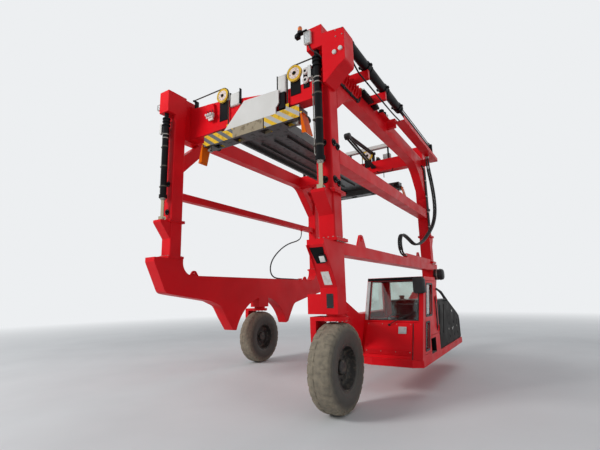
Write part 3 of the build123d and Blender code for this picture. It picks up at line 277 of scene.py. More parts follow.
def spreader_paint():
    """Dark grey enamel of the spreader, darker still on faces that look down as painted shade; its end
    faces carry slanting warning stripes, with beige between them as painted shade on pale paint.
    """
    finish = Finish("spreader_enamel_with_stripes", IOR=1.5, Coat_Weight=0.15)
    spot, facing_way = finish.parts(), finish.parts("Normal")
    # The stripes are on the two outer end faces alone
    outward = finish.math(facing_way[0], finish.math(spot[0], 0.25, "ADD"))
    end_face = finish.spread(outward, 2.6, 2.7)
    # Four bands to a metre, falling towards +Y
    phase = finish.math(spot[1], finish.math(spot[2], 1.4), "ADD")
    band = finish.spread(finish.math(finish.math(phase, 4.0), 0, "FRACT"), 0.47, 0.53)
    off_middle = finish.math(finish.math(spot[1], TUNNEL, "SUBTRACT"), 0, "ABSOLUTE")
    # The tunnel's left half has pale stripes, its right half dark ones
    left_half = finish.spread(spot[1], TUNNEL, TUNNEL + 0.01)
    scuffs = finish.clouds(11, 0.52, 0.66, detail=7)
    yellow = finish.mix(scuffs, "#DDB00A", "#B58E26")
    striped = finish.mix(band, finish.mix(left_half, "#585B5F", "#ACACA8"), yellow)
    # The beige between the striped ends is painted shade on pale paint, varied by the scuff noise
    plain = finish.mix(scuffs, "#94876F", "#716550")
    painted_face = finish.mix(finish.spread(off_middle, 0.4, 0.402), plain, striped)
    # Faces that look down are darkened: painted shade on the underside
    under = finish.spread(facing_way[2], -0.9, -0.5, 1.0, 0.0)
    body = finish.mix(under, "#3C3F3D", "#222524")
    finish.set(Base_Color=finish.mix(end_face, body, painted_face),
               Roughness=finish.spread(scuffs, 0, 1, 0.38, 0.65))
    finish.relief(finish.grain(40, 6), 0.0008, 0.3, 0.004)
    return finish.material


finishes = {
    "red": enamel("signal_red_enamel", "#E2121E", "#CC0D18", "#CC8078", 0.2, 0.4),
    "black": enamel("satin_black_enamel", "#0B0B0D", "#121315", "#5A564F", 0.25, 0.42, 0.003, 0.14),
    "white": enamel("off_white_enamel", "#DAD9D5", "#C9C7C1", "#B0A898", 0.35, 0.45, 0.004),
    "orange": enamel("guide_orange_enamel", "#E26A06", "#D05C06", "#D79A6C", 0.3, 0.4, 0.003, 0.12),
    "cover": enamel("dark_bronze_cover_enamel", "#191614", "#211D1A", "#6E665B", 0.25, 0.5, 0.004,
                    0.06),
    "chrome": hard_chrome(),
    "steel": bare_steel("zinc_plated_steel", "#B9B7B0", 0.36),
    "dark_steel": bare_steel("oiled_dark_steel", "#4A4743", 0.45),
    "brass": bare_steel("brass_valve_coils", "#B39A4A", 0.35),
    "glass": safety_glass(),
    "plastic": moulded("moulded_black_plastic", "#17181A", "#2C2D2F", 0.5),
    "hose": moulded("hydraulic_hose_rubber", "#0F1011", "#242526", 0.42, 500),
    "cloth": woven_cloth(),
    "spreader": spreader_paint(),
    "yellow": plain_paint("sheave_yellow_paint", "#DDB32B", "#8F7B4A"),
    "rim": plain_paint("dark_rim_paint", "#24211F", "#5E564B", 0.5),
    "pale": plain_paint("grey_interior_paint", "#B8BAB8", "#9C9C98", 0.55),
    "label": plain_paint("white_plate_enamel", "#E4E3DE", "#CFCCC4", 0.45),
    "blush": plain_paint("blush_sheave_enamel", "#E3D3CC", "#B9A79F", 0.45),
    "lens": clear_moulding("clear_lamp_lens", "#EDF1F2"),
    "amber": clear_moulding("amber_beacon_dome", "#F07A12"),
    **{f"tyre_{wheel}": tread_rubber(wheel) for wheel in WHEELS},
}

# Which CAD nodes get a finish other than red, by the start of the node's name
node_finishes = {
    "black": "lift_barrels hoist_barrel hoist_rod sheave_plates", "chrome": "lift_rods",
    "dark_steel": "chain", "yellow": "sheaves", "white": "junction_boxes spreader_mast_plate",
    "plastic": "lamp cab_console cab_fittings", "hose": "hose", "spreader": "spreader_frame",
    "steel": "twistlocks", "orange": "flipper", "glass": "cab_glass door_glass", "cloth": "cab_seat",
    "cover": "power_pack", "rim": "rim", **{f"tyre_{wheel}": f"tyre_{wheel}" for wheel in WHEELS},
}
for name, obj in nodes.items():
    chosen = [finish for finish, starts in node_finishes.items()
              if any(name.startswith(start) for start in starts.split())]
    for slot in obj.material_slots:
        slot.material = finishes[(chosen + ["red"])[0]]


# Hand work: the few moves that every modelled piece is made with

def take(*pieces):
    """Leave edit mode and select only these pieces; the first is the active one."""
    if bpy.context.object and bpy.context.object.mode == "EDIT":
        bpy.ops.object.mode_set(mode="OBJECT")
    bpy.ops.object.select_all(action="DESELECT")
    for piece in pieces:
        piece.select_set(True)
    if pieces:
        bpy.context.view_layer.objects.active = pieces[0]


def at(x, y, z):
    """Point given with y measured from the middle of the tunnel."""
    return Vector((x, y + TUNNEL, z))


def mm(*numbers):
    """Pairs in metres, such as a profile's, from a run of millimetres."""
    return [(a / 1000, b / 1000) for a, b in zip(numbers[::2], numbers[1::2])]


def applied(piece, move=None):
    """Move a piece by a matrix, where one is given, and make its place part of its shape."""
    if move is not None:
        piece.matrix_world = move
    take(piece)
    bpy.ops.object.transform_apply()
    return piece


def open_up(piece, pick="VERT"):
    """Enter edit mode on a piece, with all of it selected."""
    take(piece)
    bpy.ops.object.mode_set(mode="EDIT")
    bpy.ops.mesh.select_mode(type=pick)
    bpy.ops.mesh.select_all(action="SELECT")


def close_up(piece):
    """Leave edit mode."""
    bpy.ops.object.mode_set(mode="OBJECT")
    return piece


def extruded(move):
    """Extrude what is selected."""
    bpy.ops.mesh.extrude_region_move(TRANSFORM_OT_translate={"value": move})


def choose(piece, test):
    """Select, in edit mode, the faces whose middle and normal pass a test."""
    open_up(piece, "FACE")
    bpy.ops.mesh.select_all(action="DESELECT")
    bpy.ops.object.mode_set(mode="OBJECT")
    for face in piece.data.polygons:
        face.select = test(face.center, face.normal)
    bpy.ops.object.mode_set(mode="EDIT")


def sunk(piece, out, rim, depth, straight=0.9):
    """Sink a panel into the faces that look out in a direction, inside a rim."""
    out = Vector(out)
    choose(piece, lambda middle, normal: normal.dot(out) > straight)
    bpy.ops.mesh.inset(thickness=rim)
    extruded(-depth * out)
    return close_up(piece)


def soften(piece, width, segments=2):
    """Round all edges of a piece."""
    open_up(piece)
    bpy.ops.mesh.bevel(offset=width, segments=segments, affect="EDGES")
    return close_up(piece)


def sawn(low, high):
    """A rectangular blank between two corners."""
    low, high = Vector(low), Vector(high)
    take()
    bpy.ops.mesh.primitive_cube_add(size=1, location=(low + high) / 2, scale=high - low)
    return applied(bpy.context.object)


def milled(low, high, edge=0.004, segments=2):
    """A rectangular block between two corners with rounded edges."""
    return soften(sawn(low, high), edge, segments)


def block(low, high, edge=0.004, segments=2):
    """A milled block whose corners are given from the middle of the tunnel."""
    return milled(at(*low), at(*high), edge, segments)


def cut(piece, through, away):
    """Cut a piece along a plane and drop what lies on the side that away points to."""
    open_up(piece)
    bpy.ops.mesh.bisect(plane_co=through, plane_no=away, use_fill=True, clear_outer=True)
    return close_up(piece)


def facing(direction):
    """Turn that brings +Z to a direction."""
    return Vector(UP).rotation_difference(Vector(direction)).to_matrix().to_4x4()


def turned(place, along, profile, sides=32, ring=False):
    """Turn a piece on a lathe. The profile holds (distance along, radius); a ring's profile closes."""
    if ring:
        profile = profile + profile[:1]
    take()
    bpy.ops.mesh.primitive_circle_add(vertices=sides, radius=profile[0][1],
                                      fill_type="NOTHING" if ring else "NGON")
    piece = bpy.context.object
    open_up(piece)
    first = profile[0][0]
    for (here, radius), (reach, wide) in zip(profile, profile[1:]):
        extruded((0, 0, reach - here))
        bpy.ops.transform.resize(value=(wide / radius, wide / radius, 1),
                                 center_override=(0, 0, reach - first))
    bpy.ops.mesh.select_all(action="SELECT")
    if ring:
        bpy.ops.mesh.remove_doubles(threshold=0.0002)
    bpy.ops.mesh.normals_make_consistent(inside=False)
    close_up(piece)
    return applied(piece, Matrix.Translation(Vector(place)) @ facing(along)
                   @ Matrix.Translation((0, 0, first)))


def collar(place, along, inner, *profile, sides=40):
    """A ring round a bar of a radius. The profile holds distances along and rises over the bar."""
    return turned(place, along, [(0, inner)] + [(reach, inner + rise) for reach, rise in mm(*profile)]
                  + [(profile[-2] / 1000, inner)], sides, True)


def joined(name, pieces):
    """Join pieces into one."""
    take(*pieces)
    if len(pieces) > 1:
        bpy.ops.object.join()
    piece = bpy.context.object
    piece.name = name
    return applied(piece)


def repeated(name, pattern, moves):
    """Copy a modelled pattern to each place, a matrix each, and join the copies."""
    copies = []
    for move in moves:
        copy = pattern.copy()
        copy.data = pattern.data.copy()
        copy.matrix_world = move
        bpy.context.scene.collection.objects.link(copy)
        copies.append(copy)
    bpy.data.objects.remove(pattern)
    return joined(name, copies)


def surfaced(piece, finish, smooth=35):
    """Give a finished piece its shading and its material."""
    applied(piece)
    bpy.ops.object.shade_smooth_by_angle(angle=math.radians(smooth))
    piece.data.materials.clear()
    piece.data.materials.append(finishes[finish])
    return piece


def fit(name, pieces, finish, body="upper_frame", smooth=35):
    """Join finished pieces under a name, with their surface and the body that they ride on."""
    piece = joined(name, pieces if isinstance(pieces, list) else [pieces])
    surfaced(piece, finish, smooth)
    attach(piece, body)
    return piece


def spline_through(name, points, radius=0.0):
    """A smooth curve along a given route, as wide as its radius says."""
    line = bpy.data.curves.new(name, "CURVE")
    line.dimensions = "3D"
    line.bevel_depth, line.bevel_resolution, line.use_fill_caps = radius, 3, True
    line.resolution_u = 8
    spline = line.splines.new("NURBS")
    spline.points.add(len(points) - 1)
    for spot, point in zip(spline.points, points):
        spot.co = (*point, 1.0)
    spline.order_u = 3
    spline.use_endpoint_u = True
    carrier = bpy.data.objects.new(name, line)
    bpy.context.scene.collection.objects.link(carrier)
    bpy.context.view_layer.update()
    mesh = bpy.data.meshes.new_from_object(
        carrier.evaluated_get(bpy.context.evaluated_depsgraph_get()))
    bpy.data.objects.remove(carrier)
    return mesh


def bent(points, radius):
    """A pipe or hose bent along a route."""
    piece = bpy.data.objects.new("pipe", spline_through("pipe", points, radius))
    bpy.context.scene.collection.objects.link(piece)
    return piece


def pipe(radius, *points):
    """A bent pipe whose points are given from the middle of the tunnel."""
    return bent([at(*point) for point in points], radius)


def bolt_pattern(size):
    """Hexagon head on a washer, standing on the origin along +Z."""
    washer = turned((0, 0, 0), UP,
                    [(0, size * 0.95), (size * 0.16, size * 0.95), (size * 0.18, size * 0.6)], 14)
    head = turned((0, 0, size * 0.16), UP,
                  [(0, size * 0.82), (size * 0.52, size * 0.82), (size * 0.64, size * 0.7)], 6)
    return joined("bolt", [washer, head])


def bolted(name, size, spots, body="upper_frame", finish="steel"):
    """Bolt heads at spots, each a point and the direction that the head faces."""
    moves = [Matrix.Translation(place) @ facing(out) for place, out in spots]
    return fit(name, repeated(name, bolt_pattern(size), moves), finish, body)


def around(middle, radius, count, out, start=0.0, plane=(0, 1)):
    """Spots of a bolt circle in the plane of two axes."""
    spots = []
    for step in range(count):
        turn = start + step * 2 * math.pi / count
        spot = Vector(middle)
        spot[plane[0]] += radius * math.cos(turn)
        spot[plane[1]] += radius * math.sin(turn)
        spots.append((spot, out))
    return spots


# Wheels

def tread_ring(wheel):
    """One tyre: its section spun round the axle, with shallow lugs raised on both shoulders."""
    low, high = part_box(f"tyre_{wheel}")
    half = (high.y - low.y) / 2
    # Half section from the bead to the crown: in from the wall, radius
    section = [(half - inward, r) for inward, r in mm(
        40, 321, 30, 330, 14, 352, 4, 400, 1, 455, 6, 510, 16, 545, 20, 572, 36, 606, 62, 622, 100, 630,
        140, 633)] + [(0.022, 0.633)]
    outline = [(-out, r) for out, r in section] + [(out, r) for out, r in reversed(section)]
    take()
    bpy.ops.mesh.primitive_plane_add(size=0.01, location=(0, outline[0][0], outline[0][1]))
    tyre = applied(bpy.context.object)
    open_up(tyre)
    bpy.ops.mesh.merge(type="CENTER")
    for (out, r), (next_out, next_r) in zip(outline, outline[1:]):
        extruded((0, next_out - out, next_r - r))
    bpy.ops.mesh.select_all(action="SELECT")
    steps = 144
    bpy.ops.mesh.spin(steps=steps, angle=2 * math.pi, center=(0, 0, 0), axis=LEFT)
    bpy.ops.mesh.select_all(action="SELECT")
    bpy.ops.mesh.remove_doubles(threshold=0.0005)
    bpy.ops.mesh.normals_make_consistent(inside=False)

    def on_lug(middle, normal):
        """Shoulder faces of four steps in every six, staggered from side to side."""
        step = (math.atan2(middle.z, middle.x) / (2 * math.pi) * steps) % steps
        stagger = 3 if middle.y > 0 else 0
        return (0.575 < math.hypot(middle.x, middle.z) < 0.634 and abs(middle.y) > 0.045
                and (step + stagger) % 6 < 4)

    def on_rib(middle, normal):
        """A thin ring on the wall above the rim and one under the shoulder."""
        r = math.hypot(middle.x, middle.z)
        return 0.345 < r < 0.4 or 0.51 < r < 0.545

    choose(tyre, on_lug)
    bpy.ops.mesh.extrude_region_shrink_fatten(TRANSFORM_OT_shrink_fatten={"value": 0.0065})
    choose(tyre, on_rib)
    bpy.ops.mesh.inset(thickness=0.012, use_even_offset=True)
    bpy.ops.mesh.extrude_region_shrink_fatten(TRANSFORM_OT_shrink_fatten={"value": 0.0025})
    close_up(tyre)
    applied(tyre, Matrix.Translation((low + high) / 2))
    tyre = fit(f"tyre_tread_{wheel}", tyre, f"tyre_{wheel}", f"wheel_{wheel}", 28)
    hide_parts(f"tyre_{wheel}")


def dished_rim(wheel):
    """One rim: flanged well and deep web in one turning, then the hub, its cap and the wheel nuts."""
    low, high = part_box(f"tyre_{wheel}")
    centre = (low + high) / 2
    well = turned(centre + Vector((0, -0.158, 0)), LEFT, mm(
        0, 300, 0, 330, 4, 334, 10, 332, 12, 319, 70, 318, 110, 295, 200, 295, 245, 318, 304, 319,
        306, 332, 312, 334, 316, 330, 316, 300, 250, 285, 206, 275, 190, 262, 190, 73.5, 160, 73.5,
        160, 275, 60, 285), 72, True)
    hub = turned(centre + Vector((0, -0.05, 0)), LEFT, mm(
        86, 71.5, 0, 71.5, 0, 110, 82, 125, 83, 150, 95, 150, 97, 112, 135, 108, 148, 96, 154, 60,
        156, 30), 40)
    spots = around(centre + Vector((0, 0.032, 0)), 0.2, 10, LEFT, plane=(0, 2))
    nuts = repeated("nuts", bolt_pattern(0.019),
                    [Matrix.Translation(spot) @ facing(out) for spot, out in spots])
    rim = fit(f"rim_disc_{wheel}", [well, hub, nuts], "rim", f"wheel_{wheel}", 32)
    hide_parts(f"rim_{wheel}")


def steering_details(wheel):
    """Bolt circle under the slewing ring and on the hub cap of one wheel arm."""
    low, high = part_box(f"knuckle_{wheel}")
    tyre_low, tyre_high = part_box(f"tyre_{wheel}")
    x, y, z = (tyre_low + tyre_high) / 2
    spots = around((x, y, high.z - 0.058), 0.172, 12, (0, 0, -1))
    # The right arm's outer face is the model's edge, so only the left ones carry bolts there
    if wheel != "right":
        spots += around((x, low.y, z), 0.085, 8, (0, -1, 0), plane=(0, 2))
    bolted(f"arm_bolts_{wheel}", 0.014, spots, f"knuckle_{wheel}")


for wheel in WHEELS:
    tread_ring(wheel)
    dished_rim(wheel)
    steering_details(wheel)


# Frame: bolts, pad covers, plates

FLANGE_OUT = 0.169                # bolt line of the flanges from the post's middle


def flange_bolts():
    """Bolts of the joint between legs and posts, and the pad retainers on the sleeves' flanges."""
    for name, end, side in CORNERS:
        middle = at(end * POST_X, side * POST_Y, 0)
        fixed, sliding = [], []
        for step in (-0.12, -0.04, 0.04, 0.12):
            outer = middle + Vector((step, side * FLANGE_OUT, 0))
            ahead, behind = (middle + Vector((way * end * FLANGE_OUT, step, 0)) for way in (1, -1))
            for spot in (outer, ahead, behind):
                fixed.append((spot + Vector((0, 0, JOINT_Z + 0.025)), UP))
                sliding.append((spot + Vector((0, 0, POST_TOP_Z + 0.03)), UP))
            for spot in (outer, behind):
                fixed.append((spot + Vector((0, 0, JOINT_Z - 0.025)), (0, 0, -1)))
        bolted(f"flange_bolts_{name}", 0.017, fixed, "chassis")
        bolted(f"pad_bolts_{name}", 0.012, sliding)


def pad_covers():
    """Round bolted covers over the wear pads, on the front or rear and the outer face of each sleeve."""
    cover = turned((0, 0, 0), UP, mm(0, 62, 10, 62, 15, 56, 15.5, 34, 34, 32, 40, 24, 41, 12),
                   28)
    moves, spots = [], []
    for name, end, side in CORNERS:
        for height in (3.46, 4.07):
            ahead, aside = Vector((end, 0, 0)), Vector((0, side, 0))
            for out, shift in ((ahead, Vector((0, 0, 0))), (aside, ahead * 0.07),
                               (aside, ahead * -0.058 - Vector((0, 0, 0.03)))):
                spot = at(end * POST_X, side * POST_Y, height) + out * (POST / 2) + shift
                moves.append(Matrix.Translation(spot) @ facing(out))
                across = Vector((out.y, out.x, 0))
                spots += [(spot + out * 0.015 + across * a * 0.032 + Vector((0, 0, b * 0.032)), out)
                          for a, b in QUARTERS]
    fit("pad_covers", repeated("pad_covers", cover, moves), "black")
    bolted("pad_cover_screws", 0.006, spots)


NOSE_OUT = Vector((0.861, 0, -0.508))          # out of the slanted face of the left front nose


def nose_spot(y, z):
    """Point on the nose's slanted face."""
    return at(3.14 + 0.59 * (z - 1.79), y, z)


def on_nose(piece, y, z):
    """Lay a piece, made flat at the origin, on the nose's slanted face; its +X then points down it."""
    return applied(piece, Matrix.Translation(nose_spot(y, z)) @ facing(NOSE_OUT))


def leg_plates():
    """Two blank plates on the front of the left front leg: white on the slanted face, dark under it."""
    upper = sunk(sawn((-0.11, -0.065, 0), (0.11, 0.065, 0.003)), UP, 0.006, 0.0008)
    fit("leg_plate_upper", on_nose(upper, 1.895, 1.925), "label", "chassis")
    bolted("leg_plate_upper_rivets", 0.004,
           [(nose_spot(y, z) + NOSE_OUT * 0.0025, NOSE_OUT) for z in (1.84, 2.01)
            for y in (1.842, 1.948)], "chassis")
    lower = sunk(sawn(at(3.14, 1.84, 1.49), at(3.143, 1.955, 1.7)), AHEAD, 0.006, 0.0008)
    fit("leg_plate_lower", lower, "plastic", "chassis")
    bolted("leg_plate_lower_rivets", 0.004,
           [(at(3.1422, y, z), AHEAD) for y in (1.8492, 1.9458) for z in (1.5068, 1.6832)],
           "chassis")


def nose_gussets():
    """Side plates along the nose, and between them a thin black plate that is painted shade under the
    shelf, with the nose lamp on it.
    """
    plates = []
    for y in (1.743, 2.007):
        plate = sawn(at(3.2, y, 1.95), at(3.58, y + 0.015, 2.398))
        # Front edge from the shelf's corner down to the slanted face
        cut(plate, at(3.532, y, 2.385), Vector((0.822, 0, -0.569)))
        cut(plate, at(3.14, y, 1.79) - NOSE_OUT * 0.012, -NOSE_OUT)
        plates.append(soften(plate, 0.002, 1))
    fit("nose_gussets", plates, "red", "chassis")
    # A thin black plate on the slanted face between the side plates: painted shade under the shelf
    shade_plate = sawn((-0.13, -0.116, 0), (0.13, 0.116, 0.004))
    choose(shade_plate, lambda middle, out: out.x > 0.9)
    bpy.ops.transform.resize(value=(1, 0.62, 1), center_override=(0.13, 0, 0))
    fit("nose_painted_shade_plate", on_nose(soften(close_up(shade_plate), 0.0015, 1), 1.882, 2.25), "black", "chassis")


def lug_pads():
    """Doubler rings welded round the eyes of the lifting lugs."""
    rings = []
    # Columns: x, side, height of the eye, radius of the eye
    for x, side, z, eye in ((1.9, 1, 2.655, 0.032), (-1.9, 1, 2.655, 0.032),
                            (2.34, -1, 2.215, 0.02), (-2.34, -1, 2.215, 0.02)):
        rings += [turned(at(x, side * 1.91 + face * 0.015, z), (0, face, 0), [
            (0, eye + 0.001), (0, eye * 1.7), (0.005, eye * 1.66), (0.006, eye * 1.6),
            (0.006, eye + 0.001)], 28, True) for face in (1, -1)]
    fit("lug_rings", rings, "red", "chassis")


# Lift cylinders

def cylinder_dress():
    """Gland nut, pipe, clamps and port fitting on each lift barrel."""
    pipes, clamps, glands, fittings = [], [], [], []
    for name, end, side in CORNERS:
        x, y = end * CYLINDER_X, side * POST_Y
        pipe_x, pipe_y = x + 0.012, y - BARREL - 0.02
        pipes.append(pipe(0.01, *((pipe_x, pipe_y, z) for z in (5.222, 5.1, 4.6, 4.1, 3.9, 3.86)),
                          (pipe_x, pipe_y + 0.03, 3.83)))
        for z in (3.98, 4.42, 4.86):
            clamps.append(collar(at(x, y, z), UP, BARREL, 0, 4, 26, 4))
            clamps.append(block((x - 0.01, pipe_y - 0.014, z - 0.004),
                                (x + 0.034, pipe_y + 0.02, z + 0.03)))
        glands.append(turned(at(x, y, 3.706), UP, mm(0, 37, 0, 52, 4, 56, 30, 56, 34, 60), 12))
        glands.append(turned(at(x, y, 3.692), UP, mm(0, 35.5, 0, 41, 14, 46, 14, 35.5), 40, True))
        fittings.append(turned(at(pipe_x, pipe_y, 5.196), UP, mm(0, 13, 4, 17, 20, 17, 26, 14), 6))
        fittings += [collar(at(x, y, z), UP, BARREL, 0, 5, 4, 8, 20, 8, 24, 5) for z in (5.05, 5.135)]
    fit("barrel_pipes", pipes, "steel")
    fit("barrel_clamps", clamps, "dark_steel")
    fit("barrel_glands", glands, "steel")
    fit("barrel_unions", fittings, "steel")


def rod_feet():
    """Clevis pins and keeper bolts where the lift rods stand on their brackets."""
    pins, spots = [], []
    for name, end, side in CORNERS:
        x, y = end * CYLINDER_X, side * POST_Y
        pins += [turned(at(x, y + face * 0.048, 3.305), (0, face, 0), mm(0, 22, 10, 22, 13, 18), 24)
                 for face in (1, -1)]
        spots += [(at(x + a * 0.085, y + b * 0.085, POST_TOP_Z), UP) for a, b in QUARTERS]
    fit("rod_pins", pins, "steel", "chassis")
    bolted("bracket_bolts", 0.014, spots, "chassis")


# Lamps and boxes

def upper_lamps():
    """White lamp and amber beacon at the left head, lamps at the right head and in the nose."""
    for name, low, high in (("left", (3.3403, 1.719, 5.75), (3.395, 1.839, 5.97)),
                            ("right", (3.25, -2.145, 5.76), (3.32, -2.0253, 5.89))):
        housing = soften(sunk(sawn(at(*low), at(*high)), AHEAD, 0.008, 0.01), 0.003)
        lamp = fit(f"head_lamp_{name}", housing, "white")
        if name == "left":
            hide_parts("lamps_upper")
    fit("head_lamp_lens", block((3.372, 1.728, 5.759), (3.387, 1.83, 5.961)), "lens")
    fit("beacon_shelf", block((3.3403, 1.6, 5.969), (3.43, 1.799, 5.981), 0.003), "black")
    beacon_x, beacon_y = 3.385, 1.649
    foot = turned(at(beacon_x, beacon_y, 5.981), UP,
                  mm(0, 40, 6, 42, 20, 42, 24, 46, 36, 46, 40, 40), 36)
    fit("beacon_foot", foot, "plastic")
    dome = turned(at(beacon_x, beacon_y, 6.021), UP,
                  mm(0, 40, 10, 38, 55, 37, 60, 39, 64, 36, 82, 30, 92, 18, 95, 6), 36)
    fit("beacon_dome", dome, "amber")
    fit("head_camera", block((3.345, 1.56, 5.905), (3.425, 1.64, 5.966), 0.006), "black")
    hood = turned(at(3.425, 1.6, 5.935), AHEAD, mm(0, 26, 14, 26, 14, 20, 6, 18), 28)
    fit("head_camera_lens", hood, "plastic")
    fit("head_lamp_right_lens", block((3.3, -2.136, 5.769), (3.312, -2.034, 5.881), 0.003), "lens")
    shell = on_nose(milled((-0.056, -0.05, 0.004), (0.056, 0.05, 0.05), 0.006), 1.952, 2.215)
    shell = fit("nose_lamp", shell, "plastic", "chassis")
    glass = on_nose(milled((-0.046, -0.041, 0.046), (0.046, 0.041, 0.056), 0.003), 1.952, 2.215)
    fit("nose_lamp_glass", glass, "label", "chassis")
    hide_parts("lamp_nose")


def box_lids():
    """Lids, screws and cable glands that turn the white boxes into junction boxes."""
    lids, glands, screws = [], [], []
    for name, end, side in CORNERS:
        y = side * POST_Y - BARREL - 0.034 - 0.0003
        x0, x1 = end * CYLINDER_X - 0.045, end * CYLINDER_X + 0.045
        lids.append(block((x0 + 0.004, y - 0.063, 5.194), (x1 - 0.004, y - 0.06, 5.406), 0.003))
        glands += [turned(at(x, y - 0.03, 5.19), (0, 0, -1), mm(0, 12, 10, 12, 12, 9, 24, 8), 6)
                   for x in (x0 + 0.022, x1 - 0.022)]
        screws += [(at(x, y - 0.063, z), (0, -1, 0)) for x in (x0 + 0.014, x1 - 0.014)
                   for z in (5.204, 5.396)]
    for y0, y1, z0, z1 in ((0.717, 0.905, 5.501, 5.86), (-0.513, -0.257, 5.61, 5.89)):
        lids.append(block((2.735, y0 + 0.01, z0 + 0.01), (2.742, y1 - 0.01, z1 - 0.01)))
        screws += [(at(2.742, y, z), AHEAD) for y in (y0 + 0.022, y1 - 0.022)
                   for z in (z0 + 0.022, z1 - 0.022)]
    fit("box_lids", lids, "white")
    fit("box_glands", glands, "plastic")
    bolted("box_screws", 0.005, screws)


# Hoist gear

# Columns: front face of the cross beam, y, z, side of the hanging chain, beam's top under its far end
SHEAVES = ((2.69, 1.1, 5.8, -1, 5.541), (2.69, -0.74, 5.94, 1, 5.93),
           (-2.0, 0.64, 5.74, -1, REAR_BEAM_TOP), (-2.0, -0.64, 5.74, 1, REAR_BEAM_TOP))
CHAIN_REACH = 0.16 + 0.0073       # the sheave's radius and the chain's half height over it
CHAIN_PITCH = 0.0318
LUG_TOP_Z = 5.23


def sheave_faces():
    """Pale dished cover, ring of bolts and dark hub cap on the face of every sheave."""
    faces, caps, spots = [], [], []
    for face_x, y, z, side, foot in SHEAVES:
        faces.append(turned(at(face_x + 0.0502, y, z), AHEAD, mm(
            0, 44, 0, 113, 3, 112, 4.2, 106, 1.6, 96, 1.2, 72, 5.2, 58, 5.6, 44), 56, True))
        caps.append(turned(at(face_x + 0.066, y, z), AHEAD,
                           mm(-14, 36, 0, 36, 4, 32, 5, 22, 10, 20, 12, 10)))
        spots += around(at(face_x + 0.0516, y, z), 0.086, 8, AHEAD, 0.2, (1, 2))
    fit("sheave_dishes", faces, "blush")
    fit("sheave_caps", caps, "black")
    bolted("sheave_bolts", 0.007, spots, finish="dark_steel")


def link_pattern():
    """Four leaves of one chain pitch, side by side along X, and the pin through them."""
    leaves = []
    for step in range(4):
        x = -0.012 + step * 0.0063
        lift = CHAIN_PITCH / 2 if step % 2 else 0
        leaves.append(milled((x, -0.0085, lift - 0.021), (x + 0.0051, 0.0085, lift + 0.021), 0.004, 1))
    pin = turned((-0.015, 0, 0), AHEAD, mm(0, 4.8, 2, 5.8, 28, 5.8, 30, 4.8), 8)
    return joined("link", leaves + [pin])


def chains():
    """Leaf chains: one fall down to each lug, and the run over the sheave's top to its bracket."""
    for number, (face_x, y, z, side, foot) in enumerate(SHEAVES, 1):
        x, hang_y, top = face_x + 0.036, y + side * CHAIN_REACH, z + CHAIN_REACH
        count = round((z - LUG_TOP_Z) / CHAIN_PITCH)
        pitch = (z - LUG_TOP_Z) / count
        moves = [Matrix.Translation(at(x, hang_y, z - (step + 0.5) * pitch)) for step in range(count)]
        fall = surfaced(repeated(f"chain_fall_{number}", link_pattern(), moves), "dark_steel")
        at(x, hang_y, z)
        at(x, hang_y, LUG_TOP_Z)
        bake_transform(fall)
        if number == 1:
            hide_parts("chain_falls", "chain_leads")
        moves = []
        for step in range(8):
            turn = math.pi / 2 * (step + 0.5) / 8
            spot = at(x, y + side * CHAIN_REACH * math.cos(turn), z + CHAIN_REACH * math.sin(turn))
            moves.append(Matrix.Translation(spot) @ Matrix.Rotation(side * turn, 4, "X"))
        count = round((1.64 + side * y) / CHAIN_PITCH)
        moves += [Matrix.Translation(at(x, y - side * (step + 0.5) * CHAIN_PITCH, top))
                  @ Matrix.Rotation(math.pi / 2, 4, "X") for step in range(count)]
        fit(f"chain_wrap_{number}", repeated("run", link_pattern(), moves), "dark_steel")
        far_y = y - side * (count * CHAIN_PITCH + 0.012)
        post = block((x - 0.126, far_y - 0.03, foot), (x - 0.046, far_y + 0.03, top + 0.012))
        arm = block((x - 0.06, far_y - 0.022, top - 0.018), (x + 0.018, far_y + 0.022, top + 0.013))
        fit(f"chain_end_{number}", [post, arm], "black")


def chain_rollers():
    """Two white guide rollers on a black plate beside the left front sheave."""
    fit("roller_plate", block((2.6903, 1.275, 5.44), (2.702, 1.405, 5.845), 0.003), "black")
    heights = (5.58, 5.76)
    rollers = [turned(at(2.704, 1.34, z), AHEAD, mm(
        0, 26, 0, 60, 5, 64, 12, 54, 30, 54, 37, 64, 42, 60, 42, 26), 40, True) for z in heights]
    hubs = [turned(at(2.7, 1.34, z), AHEAD, mm(0, 24, 50, 24, 53, 18, 58, 12), 24)
            for z in heights]
    fit("guide_rollers", rollers, "white")
    fit("guide_roller_hubs", hubs, "black")


def lock_valves():
    """Pale valve block with three coils on the front cross beam, beside the right sheave."""
    fit("lock_valve_blocks", [block((2.7505, -1.165, 5.5), (2.8, -0.955, 5.6), 0.006),
                              block((2.7505, -1.11, 5.44), (2.785, -0.975, 5.497), 0.006)], "blush")
    sides = (-1.13, -1.06, -0.99)
    coils = [turned(at(2.8, y, 5.56), AHEAD, mm(0, 22, 5, 26, 42, 26, 47, 18, 58, 10), 20)
             for y in sides]
    leads = [pipe(0.008, (2.77, y, 5.6), (2.772, y, 5.65), (2.766, y - 0.05, 5.7),
                  (2.7, y - 0.1, 5.73)) for y in sides]
    fit("lock_valve_coils", coils, "label")
    fit("lock_valve_leads", leads, "hose", smooth=60)


